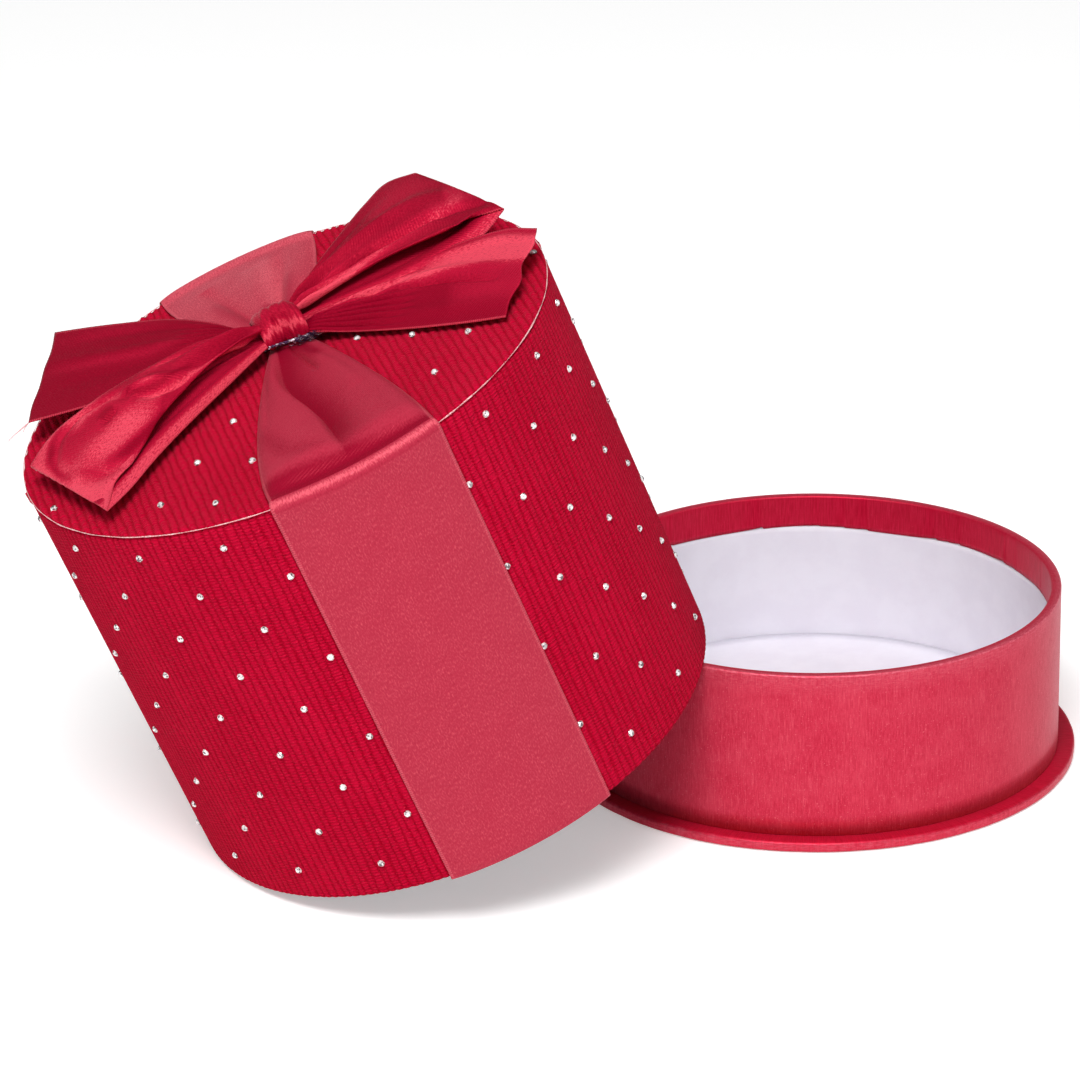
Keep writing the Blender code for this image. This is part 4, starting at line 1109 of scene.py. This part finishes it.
def makeKnot(sheets):
    # A band drawn tight around the gathered sheets. Its front and back follow the sheets' reach at each place
    # across it, its widest level lies low, and soft folds run round it.
    turn = np.linspace(0, math.tau, 181)[:, None]
    v = np.linspace(-1, 1, 61)
    across = knotPlace["halfWidth"] * v
    cloud = np.concatenate([points.reshape(-1, 3) for points in sheets]) - knotFoot
    close = np.abs(cloud[:, 1] - across[:, None]) < 0.0012
    soft = np.hanning(13) / np.hanning(13).sum()
    front = np.where(close, cloud[:, 0], -1).max(axis=1) + knotLook["margin"]
    back = np.where(close, cloud[:, 0], 1).min(axis=1) - knotLook["margin"]
    front, back = (np.convolve(np.pad(reach, 6, mode="edge"), soft, mode="valid") for reach in (front, back))
    total = levels["knotHigh"] - levels["knotLow"]
    cosine, sine = np.cos(turn), np.sin(turn)
    outX, outZ = (np.sign(value) * np.abs(value) ** knotLook["squared"] for value in (cosine, sine))
    x = (front + back) / 2 + (front - back) / 2 * outX
    upper, lower = knotLook["upper"], 1 - knotLook["upper"]
    z = total * lower + np.where(sine > 0, upper, lower) * total * outZ
    z = z + knotLook["hump"] * np.clip(sine, 0, 1) ** 1.5 * (1 - 0.6 * (v - 0.25) ** 2)
    waver = 0.22 * np.sin(2 * turn + 0.6) + 0.10 * np.sin(5 * turn + 1.0)
    folds = knotLook["pleat"] * (np.abs(np.sin(math.pi * (2.1 * v + waver + 0.3))) ** 0.7 - 0.6)
    wrinkles = np.sin(v * 16 + 3.0 * np.sin(turn * 2 + 1.1)) * np.sin(3 * turn + 4 * v)
    out = folds + knotLook["wrinkle"] * wrinkles - knotLook["taper"] * np.abs(v) ** 5
    sway = knotPlace["halfWidth"] * 0.06 * np.sin(2 * turn + 0.4)
    points = knotFoot + together(x + out * cosine, across + sway, levels["knotLow"] + z + out * sine)
    # Painted light: a painted highlight that zigzags along the lower front of the knot, and a painted sheen
    # over its top
    centre = 0.47 + 0.07 * np.sin(11 * v + 0.5) + 0.06 * np.sin(29 * v + 1) + 0.04 * np.sin(43 * v + 2)
    turn = turn[:-1]
    paintedStreak = 0.86 * np.exp(-((turn - centre) / 0.22) ** 2)
    paintedSheen = 0.30 * np.exp(-((turn - 1.75) / 0.60) ** 2)
    paintedLight = 0.12 + paintedStreak + paintedSheen + 0.07 * np.sin(37 * v + 2.2 * np.sin(turn * 1.5))
    cloth = clothOf(points, 0.5 + v / 4)
    piece = satinPiece("bowKnot", points, cloth, "satinBow", paintedLight, thickness=0.0004, roundRows=True)
    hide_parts("bow_knot")


makeKnot([makeLoop("loopLeft", "bow_loop_left", leftLoop),
          makeLoop("loopRight", "bow_loop_right", rightLoop),
          makeTail("tailLeft", "bow_tail_left", leftTail),
          makeTail("tailRight", "bow_tail_right", rightTail)])
print("bow made")


# Tinsel tie

tie = {"wire": 0.0008, "strand": 0.00024, "twist": 0.0022, "low": 0.0007, "high": 0.0034, "slivers": 150,
       "tuft": (0.0072, 0.0058, 0.0032), "tuftSpread": (0.0008, 0.0021, 0.0005)}


def tubePiece(name, path, radius, stuff, sides):
    # A round tube along a path: each ring lies square to the path, and the ends taper to closed tips
    ahead = np.gradient(path, axis=0)
    ahead /= np.linalg.norm(ahead, axis=1)[:, None]
    side = np.cross(ahead, (0.31, 0.17, 0.93))
    side /= np.linalg.norm(side, axis=1)[:, None]
    up = np.cross(ahead, side)
    taper = np.ones((len(path), 1, 1))
    taper[[0, -1]] = 0.02
    turn = np.linspace(0, math.tau, sides + 1)[:, None]
    points = path[:, None] + radius * taper * (side[:, None] * np.cos(turn) + up[:, None] * np.sin(turn))
    cloth = np.stack(np.meshgrid(np.arange(len(path)), np.arange(sides + 1), indexing="ij"), axis=-1) * 0.3
    return gridPiece(name, points, cloth, stuff, roundColumns=True, weld=True)


def makeTie():
    # The wire's route, from an end on the fabric, under the gather, up, back over the knot's lower strand,
    # and out to lie across the front of the knot's foot
    side = knotPlace["halfWidth"] + 0.0003 + tie["wire"]
    low, high = tie["low"], tie["high"]
    drop = (high - low) / 2
    route = np.array([
        (side, 2 * side, low), (side / 2, 1.5 * side, low), (0, side, low), (0, side / 2, low), (0, 0, low),
        (-0.002, -side / 2, low), (-0.003, -side + drop / 2, low), (-0.003, -side, low + drop),
        (-0.003, -side + drop / 2, high), (-0.002, -side / 2, high), (0, 0, high), (0, side / 2, high),
        (0, side, high), (0.0055, 0.0070, 0.0032), (0.0072, 0.0046, 0.0036), (0.0062, 0.0012, 0.0038),
        (0.0054, -0.0020, 0.0040), (0.0054, -0.0056, 0.0046)])
    fine = np.linspace(0, len(route) - 1, 420)
    places = np.arange(len(route))
    path = knotFoot + together(*(tableCurve(fine, places, line) for line in route.T))
    length = lengthAlong(path)
    for index in range(2):
        turn = length / tie["twist"] * math.tau + math.pi * index
        offset = together(np.cos(turn), np.sin(turn) * 0.6, np.sin(turn)) * tie["strand"] * 0.9
        strand = tubePiece("tieStrand_%d" % (index + 1), path + offset, tie["strand"], "tinselFoil", 7)
        if index == 0:
            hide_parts("bow_tie_wire")


def makeSlivers():
    # Slivers of foil stand out in a tuft beside the knot
    random = np.random.default_rng(7)
    work = bmesh.new()
    for sliver in range(tie["slivers"]):
        start = random.normal(0, 1, 3) * tie["tuftSpread"] + tie["tuft"] + knotFoot
        heading = random.normal(0, 1, 3) * (1, 1, 0.35)
        heading /= np.linalg.norm(heading)
        heading[2] = abs(heading[2]) * 0.5
        wide = np.cross(heading, (0, 0, 1.0))
        wide = wide / np.linalg.norm(wide) * random.uniform(0.00012, 0.00024)
        reach = random.uniform(0.0010, 0.0026)
        curl = random.uniform(-0.5, 0.5)
        last = None
        for share in np.linspace(0, 1, 5):
            middle = start + heading * reach * share + wide * curl * 8 * share ** 2 + (0, 0, 0.0003 * share)
            pair = [work.verts.new(leaned(middle + wide * sign * (1 - 0.6 * share))) for sign in (-1, 1)]
            if last:
                work.faces.new((last[0], last[1], pair[1], pair[0]))
            last = pair
    mesh = bpy.data.meshes.new("tieSlivers")
    work.to_mesh(mesh)
    work.free()
    finishPiece("tieSlivers", mesh, "tinselFoil", 0.00005, 0.0)


def makeLooseThreads():
    # Frayed ends at the left tail's front corner
    along, across = (np.append(axis, 0) for axis in headingAxes(leftTail["heading"]))
    corner = knotFoot + (0, 0, levels["tail"] + 0.0036) + along * leftTail["reach"] * 0.945 + across * 0.0235
    t = np.linspace(0, 1, 24)[:, None]
    for index, (out, side, lift) in enumerate(((0.0052, 0.0058, -0.0012), (0.0030, 0.0048, -0.0004),
                                               (0.0014, 0.0036, -0.0010))):
        path = corner + along * out * t + across * (side * t + 0.0006 * np.sin(3 * t + index))
        path = path + np.array((0, 0, lift)) * t ** 2
        tubePiece("looseThread_%d" % (index + 1), path, 0.00010, "bowYarn", 6)


makeTie()
makeSlivers()
makeLooseThreads()
print("tie made")


# Stones

stones = {"pitch": 0.01295, "radius": 0.00100, "rise": 0.00075, "sink": 0.0003, "sides": 8,
          "firstRow": 0.010, "firstColumn": 0.0118, "topTurn": -3.5, "topAlong": 0.0052, "topAcross": 0.0208}


def underRibbon(x, y):
    # Whether a stone at this place on the top would lie under the wrap ribbon or its knot
    place, knot = np.array((x, y)), knotFoot[:2]
    for heading in (0, ribbon["backTurn"]):
        along, across = headingAxes(heading)
        share = (place - knot) @ along / (cover["radius"] - knot @ along)
        if -knotPlace["halfWidth"] / cover["radius"] < share <= 1:
            spread = 1 - (1 - max(share, 0)) ** ribbon["bulge"]
            half = ribbon["gatherWidth"] / 2 * (1 - spread) + cover["radius"] * math.sin(halfAngle) * spread
            if abs(place @ across - knot @ across * (1 - spread)) < half + 2 * stones["radius"]:
                return True
    return False


def stoneFrames():
    # The place and turn of each stone: a staggered grid around the wall, and another on the top
    frames = []
    pitch, radius = stones["pitch"], cover["radius"]
    clear = halfAngle + stones["radius"] / 2 / radius
    columns = int(math.pi / (pitch / radius))
    for row in range(int((cover["height"] - stones["firstRow"]) / pitch) + 1):
        for column in range(-columns, columns + 1):
            angle = (stones["firstColumn"] + column * pitch) / radius
            behind = math.remainder(angle - math.radians(ribbon["backTurn"]), math.tau)
            if (row + column) % 2 == 0 and min(abs(angle), abs(behind)) > clear and math.pi > abs(angle):
                place = Matrix.Rotation(angle, 4, "Z") @ Matrix.Translation(
                    (radius, 0, stones["firstRow"] + row * pitch))
                frames.append(place @ Matrix.Rotation(math.pi / 2, 4, "Y"))
    count = int(2 * radius / pitch)
    turn = Matrix.Rotation(math.radians(stones["topTurn"]), 4, "Z")
    for row in range(-count, count + 1):
        for column in range(-count, count + 1):
            place = turn @ Matrix.Translation((stones["topAlong"] + row * pitch,
                                               stones["topAcross"] + column * pitch, cover["height"]))
            x, y = place.translation.xy
            free = math.hypot(x, y) < radius - 2 * stones["radius"] and not underRibbon(x, y)
            if (row + column) % 2 == 0 and free:
                frames.append(place)
    return frames


def makeStones():
    # Each stone: a pointed back sunk in the cloth, a girdle, a ring of crown facets, and a flat table
    sides, radius, rise = stones["sides"], stones["radius"], stones["rise"]
    turn = np.linspace(0, math.tau, sides, endpoint=False)
    half = math.pi / sides
    rings = ((0.96, 0, -stones["sink"]), (1.0, 0, 0.10 * rise), (0.80, half, 0.62 * rise), (0.45, 0, rise))
    shape = np.concatenate([turnedPoints(radius * share, turn + start, high) for share, start, high in rings])
    faces = []
    for i in range(sides):
        j = (i + 1) % sides
        faces.append((i, j, sides + j, sides + i))
        faces.append((sides + i, sides + j, 2 * sides + i))
        faces.append((2 * sides + i, sides + j, 2 * sides + j))
        faces.append((2 * sides + i, 2 * sides + j, 3 * sides + j))
        faces.append((3 * sides + j, 3 * sides + i, 2 * sides + i))
    faces.append(tuple(3 * sides + i for i in range(sides)))
    faces.append(tuple(reversed(range(sides))))
    random = np.random.default_rng(17)
    allPoints, allFaces, facets = [], [], []
    for index, place in enumerate(stoneFrames()):
        spin = Matrix.Rotation(random.uniform(0, math.tau), 4, "Z")
        world = np.array(leanMatrix() @ place @ spin @ Matrix.Rotation(random.normal(0, 0.07), 4, "X"))
        allPoints.append(shape @ world[:3, :3].T + world[:3, 3])
        allFaces += [tuple(corner + index * len(shape) for corner in face) for face in faces]
        # A random number for each facet, which picks the facets painted dark as a reflection
        facets.append(random.random(len(faces)))
    mesh = bpy.data.meshes.new("stones")
    mesh.from_pydata(np.concatenate(allPoints).tolist(), [], allFaces)
    mesh.update()
    layer = mesh.attributes.new("paintedFacetReflection", "FLOAT", "FACE")
    layer.data.foreach_set("value", np.concatenate(facets).astype(np.float32))
    finishPiece("stones", mesh, "stoneFoil")
    print("stones made:", len(allPoints))


makeStones()


# Floor, light and camera

floorLook = {"colour": (0.90, 0.90, 0.90, 1), "glow": 0.35, "half": 8.0, "drop": 0.0002}
skyLook = {"ahead": 0.42, "behind": 0.05, "above": 0.30, "low": 0.50}
lights = [
    {"name": "softFront", "place": (-0.30, -1.50, 2.10), "aim": (-0.05, -0.02, 0.06), "size": (1.0, 0.9),
     "power": 53.0},
    {"name": "leftFill", "place": (-2.1, -0.9, 0.9), "aim": (-0.05, 0.0, 0.06), "size": (1.0, 1.2),
     "power": 4.8},
    {"name": "rightFill", "place": (2.1, -0.9, 0.9), "aim": (0.0, 0.0, 0.06), "size": (1.0, 1.2),
     "power": 4.8},
]
cameraView = {"place": (-0.07779, -1.15651, 0.51450), "pitch": 21.259, "roll": -1.29, "lens": 145.58,
              "sensor": 36.0}


def makeStage():
    # A little of the floor's white shows by itself to the eye and in gloss, and the object's shadow stays on
    mesh = bpy.data.meshes.new("floor")
    half = floorLook["half"]
    corners = [(x * half, y * half, 0) for x, y in ((-1, -1), (1, -1), (1, 1), (-1, 1))]
    mesh.from_pydata(corners, [], [(0, 1, 2, 3)])
    floor = bpy.data.objects.new("floor", mesh)
    floor.location = (0, 0, -floorLook["drop"])
    bpy.context.scene.collection.objects.link(floor)
    finish, tree = newFinish("paleFloor", {
        "Base Color": floorLook["colour"], "Roughness": 0.9, "Specular IOR Level": 0.0,
        "Emission Color": (1, 1, 1, 1)})
    seen = outputsOf(addNode(tree, "LightPath"))
    glow = (seen["Is Camera Ray"] + seen["Is Glossy Ray"] + seen["Is Transmission Ray"]) * floorLook["glow"]
    floor.data.materials.append(wired(finish, {"Emission Strength": glow}))


def makeWorld():
    # A soft room: dim, but for a pale backdrop low down behind the object, and plain white to the eye
    world = bpy.data.worlds.new("softRoom")
    world.use_nodes = True
    bpy.context.scene.world = world
    tree = world.node_tree
    background = tree.nodes["Background"].inputs
    split = outputsOf(addNode(tree, "SeparateXYZ", {0: addNode(tree, "TexCoord", output="Generated")}))
    ahead = ramp(split["Y"], 0.15, -0.75, skyLook["behind"], skyLook["ahead"])
    above = ramp(split["Z"], 0.45, 0.95, 0.0, skyLook["above"])
    low = ramp(split["Z"], 0.30, 0.10) * ramp(split["Y"], 0.2, 0.5)
    seen = addNode(tree, "LightPath", output="Is Camera Ray")
    total = maths("MAXIMUM", ahead + above + low * skyLook["low"], seen)
    tree.links.new(total.socket, background["Strength"])
    background["Color"].default_value = (1, 1, 1, 1)


def makeLights():
    for light in lights:
        data = bpy.data.lights.new(light["name"], "AREA")
        data.shape = "RECTANGLE"
        data.size, data.size_y = light["size"]
        data.energy = light["power"]
        lamp = bpy.data.objects.new(light["name"], data)
        lamp.location = light["place"]
        aim = Vector(light["aim"]) - Vector(light["place"])
        lamp.rotation_mode = "QUATERNION"
        lamp.rotation_quaternion = aim.to_track_quat("-Z", "Y")
        bpy.context.scene.collection.objects.link(lamp)


def makeCamera():
    # The camera looks along Y, tips down by its pitch and turns about its own view by its roll
    data = bpy.data.cameras.new("camera")
    data.sensor_fit = "HORIZONTAL"
    data.sensor_width = cameraView["sensor"]
    data.lens = cameraView["lens"]
    data.clip_start, data.clip_end = 0.05, 50
    camera = bpy.data.objects.new("camera", data)
    pitch, roll = math.radians(cameraView["pitch"]), math.radians(cameraView["roll"])
    right = np.array((1.0, 0, 0))
    forward = np.array((0, math.cos(pitch), -math.sin(pitch)))
    up = np.array((0, math.sin(pitch), math.cos(pitch)))
    place = np.eye(4)
    place[:3, 0] = math.cos(roll) * right + math.sin(roll) * up
    place[:3, 1] = -math.sin(roll) * right + math.cos(roll) * up
    place[:3, 2], place[:3, 3] = -forward, cameraView["place"]
    camera.matrix_world = Matrix(place.tolist())
    bpy.context.scene.collection.objects.link(camera)
    bpy.context.scene.camera = camera


makeStage()
makeWorld()
makeLights()
makeCamera()
bpy.context.scene.view_settings.view_transform = "Standard"

bpy.context.view_layer.update()
